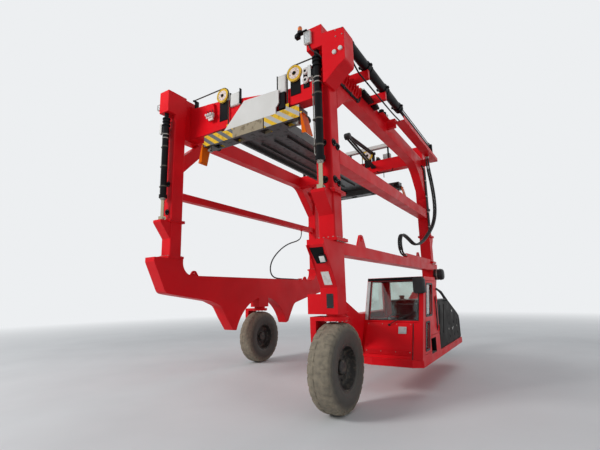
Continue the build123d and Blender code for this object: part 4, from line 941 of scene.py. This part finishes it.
def hoist_dress():
    """Clamp straps round the hoist barrel, bolts on the straps and on the head's box, and the pins on the
    head's box.
    """
    straps, spots = [], []
    y, z = HOIST_Y, HOIST_Z
    for x in (0.42, 1.32, 2.22):
        straps.append(turned(at(x, y, z), AHEAD, mm(0, 86, 0, 99, 60, 99, 60, 86), 48, True))
        for face in (1, -1):
            straps.append(block((x, y + face * 0.085, z - 0.016), (x + 0.06, y + face * 0.128, z + 0.016),
                                0.003))
            spots.append((at(x + 0.03, y + face * 0.112, z + 0.016), UP))
    fit("hoist_straps", straps, "black")
    spots += [(at(HEAD_FACE, y + b * 0.055, z + a * 0.055), AHEAD) for a, b in QUARTERS]
    bolted("hoist_bolts", 0.012, spots)
    pins = [turned(at(HEAD_FACE, py, pz), AHEAD, mm(0, 36, 22, 36, 28, 28, 28, 14), 24)
            for py, pz in ((2.245, 5.425), (2.35, 5.455))]
    fit("head_pins", pins, "white")


def frame_pipes():
    """Two black pipes in clamp blocks along the front of the left upper beam."""
    face = BEAM_FACE - 0.0005
    pipes = [pipe(0.011, *((x, face + 0.018, z) for x in (2.78, 2.6, 2.3, 2.0)),
                  (1.93, face + 0.02, z + 0.02), (1.84, face + 0.03, z + 0.2)) for z in (5.25, 5.284)]
    places = (2.6, 2.3, 2.02)
    clamps = [block((x - 0.016, face, 5.23), (x + 0.016, face + 0.034, 5.304)) for x in places]
    fit("frame_pipes", pipes, "black")
    fit("pipe_clamps", clamps, "plastic")
    bolted("pipe_clamp_bolts", 0.006, [(at(x, face + 0.034, 5.267), LEFT) for x in places])


# Hoses that bridge the telescopic lift

HOSE_APART = 0.026
LEFT_ROUTE = (
    (-2.16, 2.305, 5.4), (-2.16, 2.305, 5.1), (-2.42, 2.305, 4.76), (-2.64, 2.3, 4.33),
    (-2.64, 2.29, 3.86), (-2.36, 2.26, 3.48), (-1.96, 2.2, 3.18), (-1.56, 2.11, 2.92),
    (-1.2, 2.03, 2.84), (-0.9, 1.985, 2.96), (-0.6, 1.976, 3.025), (-0.33, 1.976, 3.01),
    (-0.191, 1.976, 2.876), (-0.191, 1.976, 2.686), (-0.325, 1.976, 2.54), (-0.52, 1.976, 2.54),
)
RIGHT_ROUTE = (
    (-2.16, -1.88, 3.75), (-2.16, -1.88, 3.54), (-1.89, -1.88, 3.39), (-1.5, -1.88, 3.29),
    (-1.15, -1.88, 3.15), (-0.82, -1.88, 2.95), (-0.57, -1.88, 2.74), (-0.44, -1.88, 2.53),
    (-0.44, -1.88, 2.33), (-0.58, -1.88, 2.2), (-0.86, -1.88, 2.168), (-1.23, -1.862, 2.168),
    (-1.6, -1.88, 2.168), (-1.96, -1.88, 2.168),
)


def conduit(name, line, radius):
    """Corrugated sleeve over the free part of a hose: one short ring every 40 mm of its line."""
    half = [(-0.019, 1.02), (-0.019, 1.14), (-0.013, 1.28), (0.013, 1.28), (0.019, 1.14), (0.019, 1.02)]
    ring = turned((0, 0, 0), UP, [(along, radius * share) for along, share in half], 16, True)
    moves, gone = [], 0.0
    for before, here in zip(line, line[1:]):
        run = here - before
        gone += run.length
        while gone >= 0.04:
            gone -= 0.04
            moves.append(Matrix.Translation(here - run.normalized() * gone)
                         @ facing(run.normalized()))
    return surfaced(repeated(f"{name}_conduit", ring, moves[8:-8]), "hose", 30)


def lift_hose(name, route, radius):
    """One hydraulic hose from the moving frame down to the chassis, with a crimped ferrule at each end."""
    points = [at(*point) for point in route]
    line = [vertex.co.copy() for vertex in spline_through(f"{name}_line", points).vertices]
    hose = surfaced(joined(f"{name}_tube", [bent(points, radius)]), "hose", 60)
    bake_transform(hose)
    sleeve = conduit(name, line, radius)
    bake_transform(sleeve)
    for spot, ahead, body in ((points[0], points[1] - points[0], "upper_frame"),
                              (points[-1], points[-2] - points[-1], "chassis")):
        crimp = turned(spot, ahead.normalized(), [
            (0, radius * 1.1), (0.004, radius * 1.28), (0.018, radius * 1.28), (0.02, radius * 1.18),
            (0.055, radius * 1.18), (0.06, radius * 1.04)], 20)
        fit(f"{name}_ferrule_{body}", crimp, "steel", body)
    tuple(points[0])
    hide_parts(name)


def lift_hoses():
    """The pair on the left and the single one on the right."""
    for name, side in (("hose_left_outer", 1), ("hose_left_inner", -1)):
        lift_hose(name, [(x, y + side * HOSE_APART, z) for x, y, z in LEFT_ROUTE], 0.02)
    lift_hose("hose_right", RIGHT_ROUTE, 0.015)


for dress in (flange_bolts, pad_covers, leg_plates, nose_gussets, lug_pads, cylinder_dress, rod_feet,
              upper_lamps, box_lids, sheave_faces, chains, chain_rollers, lock_valves, hoist_dress,
              frame_pipes, lift_hoses):
    dress()


# Cab

SCREEN_SLOPE = 0.3504
SCREEN_RAKE = math.atan(SCREEN_SLOPE)
SCREEN_OUT = Vector((math.cos(SCREEN_RAKE), 0, math.sin(SCREEN_RAKE)))


def raked(piece, height=1.215):
    """Stand a piece, made upright at the origin, on the cab's raked front; its X points out."""
    return applied(piece, Matrix.Translation(at(1.722 - SCREEN_SLOPE * (height - 0.6), 0, height))
                   @ Matrix.Rotation(-SCREEN_RAKE, 4, "Y"))


def windscreen_trim():
    """Black glazing rubber, dark brow, pale left pillar cover, sill and wiper of the windscreen."""
    y0, y1, z0, z1, wide = 1.829, 2.71, 0.012, 0.714, 0.016
    bars = [milled((0.0, *low), (0.01, *high), 0.003) for low, high in (
        ((y0 - wide, z0 - wide), (y0, z1 + wide)), ((y1, z0 - wide), (y1 + wide, z1 + wide)),
        ((y0, z0 - wide), (y1, z0)), ((y0, z1), (y1, z1 + wide)))]
    fit("screen_rubber", raked(joined("rubber", bars)), "plastic", "chassis")
    # Columns: name, low and high corner, edge, finish
    for name, low, high, edge, finish in (
        ("screen_brow", (0.001, 1.745, 0.738), (0.016, 2.8, 0.792), 0.006, "black"),
        ("pillar_cover", (0.0, 1.745, 0.0), (0.007, 1.806, 0.732), 0.003, "pale"),
        ("screen_sill", (0.0, 1.812, -0.034), (0.012, 2.726, -0.01), 0.004, "red"),
    ):
        fit(name, raked(milled(low, high, edge)), finish, "chassis")
    foot, tip = at(1.536, 2.217, 1.13), at(1.471, 2.57, 1.316)
    out, along = SCREEN_OUT, (tip - foot).normalized()
    boss = turned(foot, out, mm(0, 22, 30, 22, 36, 15, 46, 13), 24)
    arm = bent([foot + out * 0.04, foot + out * 0.05 + (tip - foot) * 0.3,
                foot + out * 0.042 + (tip - foot) * 0.7, tip + out * 0.026], 0.008)
    blade = bent([tip + out * 0.016 - along * 0.2, tip + out * 0.02, tip + out * 0.016 + along * 0.12],
                 0.007)
    fit("wiper", [boss, arm, blade], "plastic", "chassis")


def front_panel_dress():
    """Seam, blank plate and bolts on the cab's lower front."""
    fit("front_seam", raked(milled((-0.004, 2.627, -0.02), (0.003, 2.641, 0.59), 0.002), 0.61),
        "plastic", "chassis")
    fit("front_plate", raked(milled((0.045, 2.392, 0), (0.049, 2.532, 0.12), 0.002), 0.985), "pale",
        "chassis")
    spots = [(at(1.722 - SCREEN_SLOPE * (z - 0.6), y, z) + SCREEN_OUT * 0.045, SCREEN_OUT)
             for y in (1.84, 2.1, 2.36, 2.6) for z in (0.7, 1.14)]
    bolted("front_panel_bolts", 0.009, spots, "chassis")


def mirror_housing():
    """Rounded black shell over the mirror, its glass sunk in."""
    shell = soften(sawn(at(1.262, 2.648, 1.668), at(1.402, 2.836, 1.948)), 0.05, 5)
    fit("mirror_shell", sunk(shell, (-1, 0, 0), 0.01, 0.01, 0.97), "plastic", "chassis", 40)


def gasket(corners, face, width, rise):
    """A rubber frame with rounded corners round a four-cornered pane, raised from the door."""
    take()
    bpy.ops.mesh.primitive_plane_add(size=1)
    piece = bpy.context.object
    for vertex, (x, z) in zip(piece.data.vertices, corners):
        vertex.co = (x, face, z)
    open_up(piece)
    bpy.ops.mesh.bevel(offset=0.045, segments=5, affect="VERTICES")
    choose(piece, lambda middle, normal: True)
    bpy.ops.mesh.inset(thickness=width)
    bpy.ops.mesh.delete(type="FACE")
    bpy.ops.mesh.select_all(action="SELECT")
    extruded((0, rise, 0))
    bpy.ops.mesh.select_all(action="SELECT")
    bpy.ops.mesh.normals_make_consistent(inside=False)
    return close_up(piece)


def door_dress():
    """Gaskets round both panes, grab rail and lock of the door."""
    face, lap = 2.8 + TUNNEL, 0.014
    gaskets = []
    # Columns: rear and front at the foot, rear and front at the top, heights
    for rear, front, top_rear, top_front, z0, z1 in (
        (0.8805, 1.3105, 0.6825, 1.1125, 1.275, 1.84), (1.235, 1.505, 1.0755, 1.3455, 0.72, 1.175),
    ):
        corners = [(rear - lap, z0 - lap), (front + lap, z0 - lap), (top_rear - lap, z1 + lap),
                   (top_front + lap, z1 + lap)]
        gaskets.append(gasket(corners, face - 0.001, 0.03, 0.009))
    fit("door_gaskets", gaskets, "plastic", "cab_door")
    rail = bent([Vector((0.56, face + out, z)) for out, z in (
        (0, 0.98), (0.015, 1.02), (0.016, 1.3), (0.015, 1.56), (0, 1.6))], 0.011)
    fit("door_grab", rail, "plastic", "cab_door", 50)
    plate = milled((0.486, face - 0.002, 1.19), (0.536, face + 0.006, 1.33), 0.003)
    knob = turned((0.511, face + 0.004, 1.29), LEFT, mm(0, 18, 8, 20, 11, 14), 20)
    fit("door_lock", [plate, knob], "black", "cab_door")


def step_lining():
    """Dark lining, grip tread and a small white light in the step well."""
    lining = [block((0.7205, 2.6825, 0.6156), (1.0795, 2.6865, 0.8745), 0.0015),
              block((0.7205, 2.6865, 0.6156), (1.0795, 2.799, 0.6216), 0.002),
              block((0.7205, 2.6865, 0.869), (1.0795, 2.799, 0.8745), 0.002)]
    lining += [block((x, 2.6865, 0.6216), (x + 0.004, 2.799, 0.869), 0.0015)
               for x in (0.7205, 1.0755)]
    fit("step_lining", lining, "black", "chassis")
    cleats = [block((0.735 + step * 0.032, 2.692, 0.6216), (0.747 + step * 0.032, 2.792, 0.6276),
                    0.002, 1) for step in range(11)]
    fit("step_cleats", cleats, "steel", "chassis")
    lamp = turned(at(0.99, 2.6865, 0.78), LEFT, mm(0, 26, 12, 28, 18, 20, 20, 10), 28)
    fit("step_light", lamp, "label", "chassis")


def helm():
    """Steering wheel and column, console panel with its knobs, and the pale trim inside the cab."""
    centre, lean, side = at(1.15, 2.27, 1.235), Vector((-0.45, 0, 0.893)), Vector(LEFT)
    rim = turned(centre, lean, mm(-12, 160, -8, 172, 4, 174, 12, 166, 8, 154, -4, 152), 48, True)
    spokes = [bent([centre - lean * 0.02, centre + way * 0.08, centre + way * 0.158], 0.01)
              for way in (side, -side, lean.cross(side))]
    boss = turned(centre - lean * 0.04, lean, mm(0, 30, 20, 45, 36, 42, 40, 30))
    column = bent([centre - lean * 0.03, centre - lean * 0.2, at(1.3, 2.27, 0.92)], 0.028)
    fit("steering_wheel", [rim, boss, column] + spokes, "plastic", "chassis")
    low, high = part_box("cab_console")
    panel = sawn((low.x + 0.01, low.y + 0.01, high.z - 0.01),
                 (high.x - 0.01, high.y - 0.01, high.z + 0.012))
    fit("console_panel", soften(sunk(panel, UP, 0.012, 0.004), 0.002), "pale", "chassis")
    knobs = [turned((low.x + 0.06, low.y + 0.05 + step * 0.062, high.z + 0.008), UP,
                    mm(0, 16, 12, 16, 16, 10), 16) for step in range(5)]
    fit("console_knobs", knobs, "black", "chassis")
    fit("cab_trim", [block((0.47, 1.7845, 0.66), (1.4, 1.8, 1.19), 0.006),
                     block((0.4455, 1.81, 0.66), (0.46, 2.74, 1.19), 0.006)], "label", "chassis")


# Seat: padded pieces

def swollen(piece, floor):
    """Cloth pressure on a pad, its swelling capped at 14 mm and its underside kept flat."""
    take(piece)
    remesh = piece.modifiers.new("skin", "REMESH")
    remesh.mode, remesh.voxel_size = "VOXEL", 0.006
    bpy.ops.object.modifier_apply(modifier="skin")
    before = [vertex.co.copy() for vertex in piece.data.vertices]
    cloth = piece.modifiers.new("air", "CLOTH")
    cloth.settings.use_pressure = True
    cloth.settings.uniform_pressure_force = 4
    cloth.settings.effector_weights.gravity = 0
    cloth.point_cache.frame_start, cloth.point_cache.frame_end = 1, 20
    for step in range(1, 21):
        bpy.context.scene.frame_set(step)
    mesh = piece.evaluated_get(bpy.context.evaluated_depsgraph_get()).to_mesh()
    after = [vertex.co.copy() for vertex in mesh.vertices]
    piece.modifiers.remove(cloth)
    bpy.context.scene.frame_set(1)
    for vertex, old, new in zip(piece.data.vertices, before, after):
        move = new - old
        vertex.co = old + move * min(1.0, 0.014 / max(move.length, 1e-6))
        vertex.co.z = max(vertex.co.z, floor)


def pad(name, low, high, lean=0.0, channels=()):
    """One upholstered pad: swollen by cloth pressure, then its sewn channels pressed in."""
    low, high = Vector(low), Vector(high)
    margin = Vector((0.008, 0.008, 0.008))
    piece = sawn(low + margin, high - margin)
    open_up(piece)
    bpy.ops.mesh.subdivide(number_cuts=9)
    close_up(piece)
    soften(piece, 0.004, 1)
    middle, reach = (low + high) / 2, (high - low) / 2
    for vertex in piece.data.vertices:
        # Sides pull in a little between the corners
        u, v = ((vertex.co[i] - middle[i]) / reach[i] for i in (0, 1))
        vertex.co.x -= 0.01 * u * (1 - v * v)
        vertex.co.y -= 0.01 * v * (1 - u * u)
    swollen(piece, low.z)
    piece.data.update()
    for vertex in piece.data.vertices:
        if vertex.normal.z > 0.35:
            for axis, place in channels:
                off = abs(vertex.co[axis] - place)
                if off < 0.014:
                    vertex.co.z -= 0.008 * (1 - off / 0.014) ** 2
    rounder = piece.modifiers.new("round", "SUBSURF")
    rounder.levels = rounder.render_levels = 1
    take(piece)
    bpy.ops.object.modifier_apply(modifier="round")
    if lean:
        hinge = Vector((low.x, middle.y, low.z))
        piece.matrix_world = (Matrix.Translation(hinge) @ Matrix.Rotation(lean, 4, "Y")
                              @ Matrix.Translation(-hinge))
    piece = fit(name, piece, "cloth", "chassis", 70)
    return piece


def operator_seat():
    """Cushion, back and arm pads on a bellows pedestal, in place of the plain seat."""
    cushion = pad("seat_cushion", at(0.52, 2.04, 0.96), at(0.975, 2.5, 1.06),
                  channels=((0, 0.64), (0, 0.8), (1, TUNNEL + 2.13), (1, TUNNEL + 2.41)))
    # The back is padded lying down, then stood up on its hinge
    pad("seat_back", at(0.585, 2.06, 1.065), at(1.01, 2.48, 1.15), -math.radians(84),
        channels=((0, 0.74), (0, 0.88), (1, TUNNEL + 2.14), (1, TUNNEL + 2.4)))
    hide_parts("cab_seat")
    folds = [number for start in range(10, 250, 48) for number in (start, 150, start + 24, 126)]
    bellows = turned(at(0.74, 2.27, 0.65), UP, mm(0, 120, *folds, 262, 140), 40)
    fit("seat_bellows", bellows, "plastic", "chassis", 25)
    fit("seat_pan", block((0.54, 2.07, 0.912), (0.95, 2.47, 0.956), 0.01), "plastic", "chassis")
    # Armrests 228 mm to each side of the seat's middle
    for name, y in (("left", 2.27 + 0.228), ("right", 2.27 - 0.228)):
        arm = block((0.6, y - 0.01, 1.175), (0.88, y + 0.012, 1.215), 0.01, 3)
        fit(f"seat_arm_{name}", arm, "plastic", "chassis")


# Power pack

def pack_dress():
    """Seams, hinges, latches, rubber edge, exhaust and guard of the engine cover, with a pale top and two
    small white plates that are painted highlights.
    """
    face = 2.78
    strips, hinges, latches = [], [], []
    for x in (-0.64, -1.13, -1.54):
        top = 1.51 + 0.336 * (x + 0.62)
        strips.append(block((x - 0.006, face - 0.001, 0.64), (x + 0.006, face + 0.002, top), 0.001, 1))
        hinges += [block((x - 0.026, face, z), (x - 0.008, face + 0.008, z + 0.07), 0.003)
                   for z in (0.72, 0.98)]
        latches.append(turned(at(x + 0.06, face, 0.9), LEFT, mm(0, 20, 3, 22, 6, 18, 6, 8), 20))
    # Two small white plates on the cover stand for glints: painted highlight
    plates = [block((x - 0.024, face, z - 0.022), (x + 0.024, face + 0.007, z + 0.022))
              for x, z in ((-1.04, 1.26), (-0.97, 0.88))]
    edge = [(x, face - 0.004, z) for x, z in (
        (0.34, 1.526), (-0.4, 1.526), (-0.64, 1.52), (-1.24, 1.318), (-1.862, 1.108), (-1.866, 0.9),
        (-1.866, 0.62))]
    stack = turned(at(-0.3, 1.9, 1.54), UP,
                   mm(0, 75, 10, 75, 12, 52, 50, 52, 54, 60, 80, 60, 86, 50), 36)
    guard = pipe(0.021, (0.392, 2.735, 1.73), (0.15, 2.74, 1.76), (-0.18, 2.745, 1.7),
                 (-0.47, 2.745, 1.6), (-0.56, 2.745, 1.545))
    for name, pieces, finish, smooth in (
        ("pack_glint_plates_painted_highlight", plates, "label", 35), ("pack_seams", strips, "plastic", 35),
        ("pack_hinges", hinges, "black", 35), ("pack_latches", latches, "steel", 35),
        ("pack_edge", pipe(0.012, *edge), "plastic", 50),
        # A pale slab over the cover's dark top stands for its lit top: painted highlight
        ("pack_top_painted_highlight", block((-0.56, 1.83, 1.53), (0.3, 2.74, 1.542), 0.005), "pale", 35),
        ("pack_exhaust", stack, "dark_steel", 35), ("pack_guard", guard, "plastic", 50),
    ):
        fit(name, pieces, finish, "chassis", smooth)


def air_cleaner():
    """Black round air cleaner strapped to the outer face of the left rear leg."""
    body = turned(at(-3.06, 2.03, 2.17), LEFT, mm(
        0, 120, 10, 150, 150, 152, 154, 162, 176, 162, 180, 152, 225, 150, 250, 120, 256, 60), 48)
    fit("air_cleaner", body, "plastic", "chassis")
    strap = turned(at(-3.06, 2.1, 2.17), LEFT, mm(0, 152, 0, 156, 30, 156, 30, 152), 48, True)
    fit("air_cleaner_band", strap, "steel", "chassis")


# Left upper beam and rear cross beam

def valve_bank(name, x, y, z, sections):
    """A row of valve sections with solenoids, port fittings and a manifold under them."""
    base = block((x, y, z), (x + sections * 0.062 + 0.02, y + 0.115, z + 0.05))
    bodies, coils = [], []
    for step in range(sections):
        left = x + 0.012 + step * 0.062
        bodies.append(block((left, y + 0.012, z + 0.05), (left + 0.05, y + 0.1, z + 0.096)))
        coils.append(turned(at(left + 0.025, y + 0.032, z + 0.096), UP,
                            mm(0, 18, 6, 21, 40, 21, 46, 14, 54, 8), 20))
        bodies.append(turned(at(left + 0.025, y + 0.078, z + 0.096), UP,
                             mm(0, 13, 14, 13, 16, 10, 34, 9), 6))
    fit(f"{name}_manifold", base, "black")
    fit(f"{name}_sections", bodies, "black")
    fit(f"{name}_coils", coils, "brass")


def beam_dress():
    """Ribs, valves, drums and pipes along the left upper beam and under the hoist barrel."""
    ribs = []
    for step in range(8):
        x = 1.88 + step * 0.104
        rib = sawn(at(x, BEAM_FACE - 0.0005, 5.33), at(x + 0.022, 2.078, 5.585))
        ribs.append(soften(cut(rib, at(x, 2.078, 5.42), Vector((0, 0.8, -0.6))), 0.002, 1))
    fit("beam_ribs", ribs, "red")
    # Two banks, one on each side of the barrel's rear bracket
    valve_bank("beam_valves_front", 1.395, BEAM_FACE, 5.47, 7)
    valve_bank("beam_valves_rear", 1.075, BEAM_FACE, 5.47, 3)
    fit("beam_shelf", block((0.43, BEAM_FACE, 5.486), (0.87, 2.145, 5.5)), "red")
    drums = [turned(at(x, 2.086, 5.5), UP, mm(0, 52, 10, 56, 80, 56, 90, 46, 94, 20), 28)
             for x in (0.8, 0.66)]
    fit("beam_accumulators", drums, "black")
    cup = turned(at(0.5, 2.084, 5.5), UP, mm(0, 40, 70, 44, 74, 48, 90, 48, 96, 30), 28)
    fit("beam_filter", cup, "label")
    feed = [(x, HOIST_Y, z) for x, z in ((2.98, 5.6), (2.7, 5.44), (2.4, 5.432), (1.5, 5.428),
                                         (0.81, 5.43), (0.5, 5.45), (0.325, 5.462))]
    fit("barrel_feed_pipe", pipe(0.014, *feed), "black", smooth=50)
    guide_z = 5.862
    rod = pipe(0.01, *((x, HOIST_Y, guide_z) for x in (0.32, -0.6, -1.6, -2.445)))
    plug = turned(at(0.32, HOIST_Y, guide_z - 0.034), UP, mm(0, 22, 50, 22, 54, 16), 20)
    fit("hoist_guide_rod", [rod, plug], "black", smooth=50)
    # The rod's end block slides along under the guide rod and holds it in an eye
    eye = turned(at(-2.43, HOIST_Y, guide_z), AHEAD, mm(0, 14, 0, 30, 20, 30, 20, 14), 28, True)
    fit("hoist_guide_eye", eye, "steel", "hoist_rod")
    cable = pipe(0.009, (3.352, 1.79, 5.76), (3.356, 1.8, 5.64), (3.352, 1.985, 5.5),
                 (3.15, 2.036, 5.3), (2.86, 2.045, 5.25), (2.76, 2.046, 5.262), (2.61, 2.046, 5.266))
    fit("head_cable", cable, "hose", smooth=60)


def rear_beam_dress():
    """White cover bar, valve bank, folding hose arm and switch bracket on the rear cross beam."""
    fit("rear_bar", block((-2.06, -0.06, 5.882), (-1.93, 1.3, 5.99), 0.008), "white")
    posts = [block((-2.05, y, REAR_BEAM_TOP), (-2.0, y + 0.04, 5.884)) for y in (0.06, 1.24)]
    fit("rear_bar_posts", posts, "black")
    valve_bank("rear_valves", -2.24, 0.86, REAR_BEAM_TOP + 0.001, 3)
    box = block((-2.2, 1.08, REAR_BEAM_TOP + 0.001), (-2.06, 1.29, 5.72), 0.008)
    fit("rear_switch_box", box, "pale")
    arm_y = 0.8
    knee, arms = at(-0.235, arm_y, 5.69), []
    for start, offset in ((at(-2.02, arm_y, 5.78), 0.03), (at(-1.998, arm_y, 5.35), -0.03)):
        bend = knee + Vector((0, 0, offset))
        for side in (-0.036, 0.036):
            shift = Vector((0, side, 0))
            arms.append(bent([start + (bend - start) * share + shift for share in (0, 0.35, 0.75, 1)],
                             0.027))
    arms.append(turned(knee + Vector((0, -0.075, 0)), LEFT, mm(
        0, 70, 6, 82, 20, 86, 130, 86, 144, 82, 150, 70, 154, 30), 36))
    arms += [block((x, arm_y - 0.07, z), (x + 0.06, arm_y + 0.07, z + 0.076), 0.006)
             for x, z in ((-2.05, 5.742), (-2.0, 5.318))]
    arms.append(block((-2.05, arm_y - 0.04, REAR_BEAM_TOP), (-2.0, arm_y + 0.04, 5.745)))
    fit("hose_arm", arms, "plastic", smooth=45)
    bracket = pipe(0.012, (-1.99, 0.9, 5.215), (-1.985, 0.905, 5.15), (-1.985, 1.13, 5.135),
                   (-1.985, 1.34, 5.12), (-1.985, 1.372, 5.16), (-1.99, 1.375, 5.215))
    drop = pipe(0.009, (-1.985, 1.1, 5.14), (-1.985, 1.104, 5.05), (-1.985, 1.1, 4.98))
    fit("switch_bracket", [bracket, drop], "black", smooth=50)


def rear_post_hoses():
    """Steel-banded pipes fixed down the outer face of the left rear sleeve."""
    runs = [pipe(0.019, *((place, 2.046, z) for place, z in (
        (-2.56, 5.3), (x + 0.1, 5.3), (x, 5.2), (x, 4.3), (x, 3.42)))) for x in (-2.93, -2.878, -2.826)]
    bands = [block((-2.962, 2.025, z), (-2.792, 2.071, z + 0.034), 0.006)
             for z in (3.52, 3.95, 4.42, 4.9)]
    fit("sleeve_runs", runs, "hose", smooth=60)
    fit("sleeve_bands", bands, "steel")


# Spreader

def flipper_drums():
    """Black rotary drives of the guide arms, at the inner side of the end beams."""
    drums, bolts = [], []
    for inner, out in ((2.48, -1), (-2.978, 1)):
        for side in (1, -1):
            place = at(inner, side * 1.16, 4.96)
            drums.append(turned(place, (out, 0, 0), mm(
                0, 70, 6, 78, 60, 78, 64, 66, 110, 66, 116, 56, 120, 24), 36))
            bolts += around(place + Vector((out * 0.064, 0, 0)), 0.071, 6, (out, 0, 0), 0, (1, 2))
    fit("guide_drums", drums, "black", "spreader")
    bolted("guide_drum_bolts", 0.006, bolts, "spreader")


def spreader_dress():
    """Pipes and boxes on the spreader's deck, and the bolts of its mast plate."""
    pipes = [pipe(0.012, *((x, y, 5.196) for x in (-2.9, -2.4, 0, 2.42)))
             for y in (-0.09, -0.055, -0.02)]
    fit("deck_pipes", pipes, "steel", "spreader")
    fit("deck_boxes", [block((0.2, 0.12, 5.172), (0.62, 0.38, 5.3), 0.01),
                       block((-0.9, -0.42, 5.172), (-0.56, -0.18, 5.27), 0.01)], "pale", "spreader")
    places = [(y, 5.13) for y in (-0.54, -0.27, 0.0, 0.27, 0.54)]
    places += [(-0.42, 5.3), (-0.2, 5.48), (0.62, 5.34), (0.66, 5.5), (0.1, 5.53)]
    bolted("mast_plate_bolts", 0.0035, [(at(2.777, y, z), AHEAD) for y, z in places], "spreader")


for dress in (windscreen_trim, front_panel_dress, mirror_housing, door_dress, step_lining, helm,
              operator_seat, pack_dress, air_cleaner, beam_dress, rear_beam_dress, rear_post_hoses,
              flipper_drums, spreader_dress):
    dress()


# Stage: floor, light and camera

BACKGROUND = "#EDEFF1"


def seen_directly(tree):
    """1 for what the camera sees straight on, in a reflection or through glass."""
    rays = add(tree, "ShaderNodeLightPath").node.outputs
    seen = add(tree, "ShaderNodeMath", {0: rays["Is Camera Ray"], 1: rays["Is Glossy Ray"]},
               operation="MAXIMUM")
    return add(tree, "ShaderNodeMath", {0: seen, 1: rays["Is Transmission Ray"]}, operation="MAXIMUM")


def lay_floor():
    """A pale studio floor that fades into the background far from the machine."""
    take()
    bpy.ops.mesh.primitive_circle_add(vertices=96, radius=60, fill_type="NGON",
                                      location=(0, 0, cad_bounds[0].z - 0.001))
    floor = bpy.context.object
    floor.name = "studio_floor"
    finish = Finish("pale_studio_floor", Roughness=0.75)
    finish.set(Base_Color=finish.mix(finish.clouds(0.6, 0.3, 0.7), "#D9DADA", "#D2D3D3"))
    far = finish.spread(finish.vector("LENGTH", finish.where, out=1), 9, 26)
    haze = finish.add("ShaderNodeEmission", {"Color": BACKGROUND, "Strength": 1.0})
    both = finish.add("ShaderNodeMixShader", {0: finish.math(seen_directly(finish.tree), far),
                                              1: finish.shader.outputs[0], 2: haze})
    put(finish.tree, finish.tree.nodes["Material Output"].inputs[0], both)
    floor.data.materials.append(finish.material)


def light_studio():
    """One large soft key from the machine's front right, a fill and an even room light."""
    # Columns: name, place, edge in metres, watts
    for name, place, edge, watts in (
        ("key", (15.0, -9.0, 10.5), 5.0, 1950), ("fill", (5.0, 14.0, 5.5), 7.0, 260),
        ("back", (-11.0, 3.0, 10.0), 5.0, 300),
    ):
        lamp = bpy.data.lights.new(name, "AREA")
        lamp.size, lamp.energy = edge, watts
        obj = bpy.data.objects.new(f"lamp_{name}", lamp)
        obj.location = place
        towards = Vector((0, TUNNEL, 2.6)) - Vector(place)
        obj.rotation_euler = towards.to_track_quat("-Z", "Y").to_euler()
        # Bare lamps would show as white patches on the rods
        obj.visible_glossy = False
        bpy.context.scene.collection.objects.link(obj)
    world = bpy.data.worlds.new("studio")
    world.use_nodes = True
    tree = world.node_tree
    tree.nodes.clear()
    room = add(tree, "ShaderNodeBackground", {"Color": "#E6ECF4", "Strength": 0.42})
    backdrop = add(tree, "ShaderNodeBackground", {"Color": BACKGROUND, "Strength": 1.0})
    both = add(tree, "ShaderNodeMixShader", {0: seen_directly(tree), 1: room, 2: backdrop})
    output = tree.nodes.new("ShaderNodeOutputWorld")
    put(tree, output.inputs[0], both)
    bpy.context.scene.world = world


def set_camera():
    """The photograph's standpoint: beside the cab, eyes 1.7 m up, looking up at the frame."""
    yaw, pitch, roll = (math.radians(a) for a in (212.18, 10.59, -1.34))
    ahead = Vector((math.cos(pitch) * math.cos(yaw), math.cos(pitch) * math.sin(yaw),
                    math.sin(pitch)))
    level = Vector((math.sin(yaw), -math.cos(yaw), 0))
    up = level.cross(ahead)
    right = math.cos(roll) * level + math.sin(roll) * up
    up = math.cos(roll) * up - math.sin(roll) * level
    camera = bpy.data.cameras.new("camera")
    camera.sensor_width, camera.lens = 36.0, 22.27
    obj = bpy.data.objects.new("camera", camera)
    obj.matrix_world = Matrix.Translation((8.09, 4.52 + TUNNEL, 1.7)) @ Matrix(
        (right, up, -ahead)).transposed().to_4x4()
    bpy.context.scene.collection.objects.link(obj)
    bpy.context.scene.camera = obj


lay_floor()
light_studio()
set_camera()
bpy.context.scene.view_settings.view_transform = "Standard"
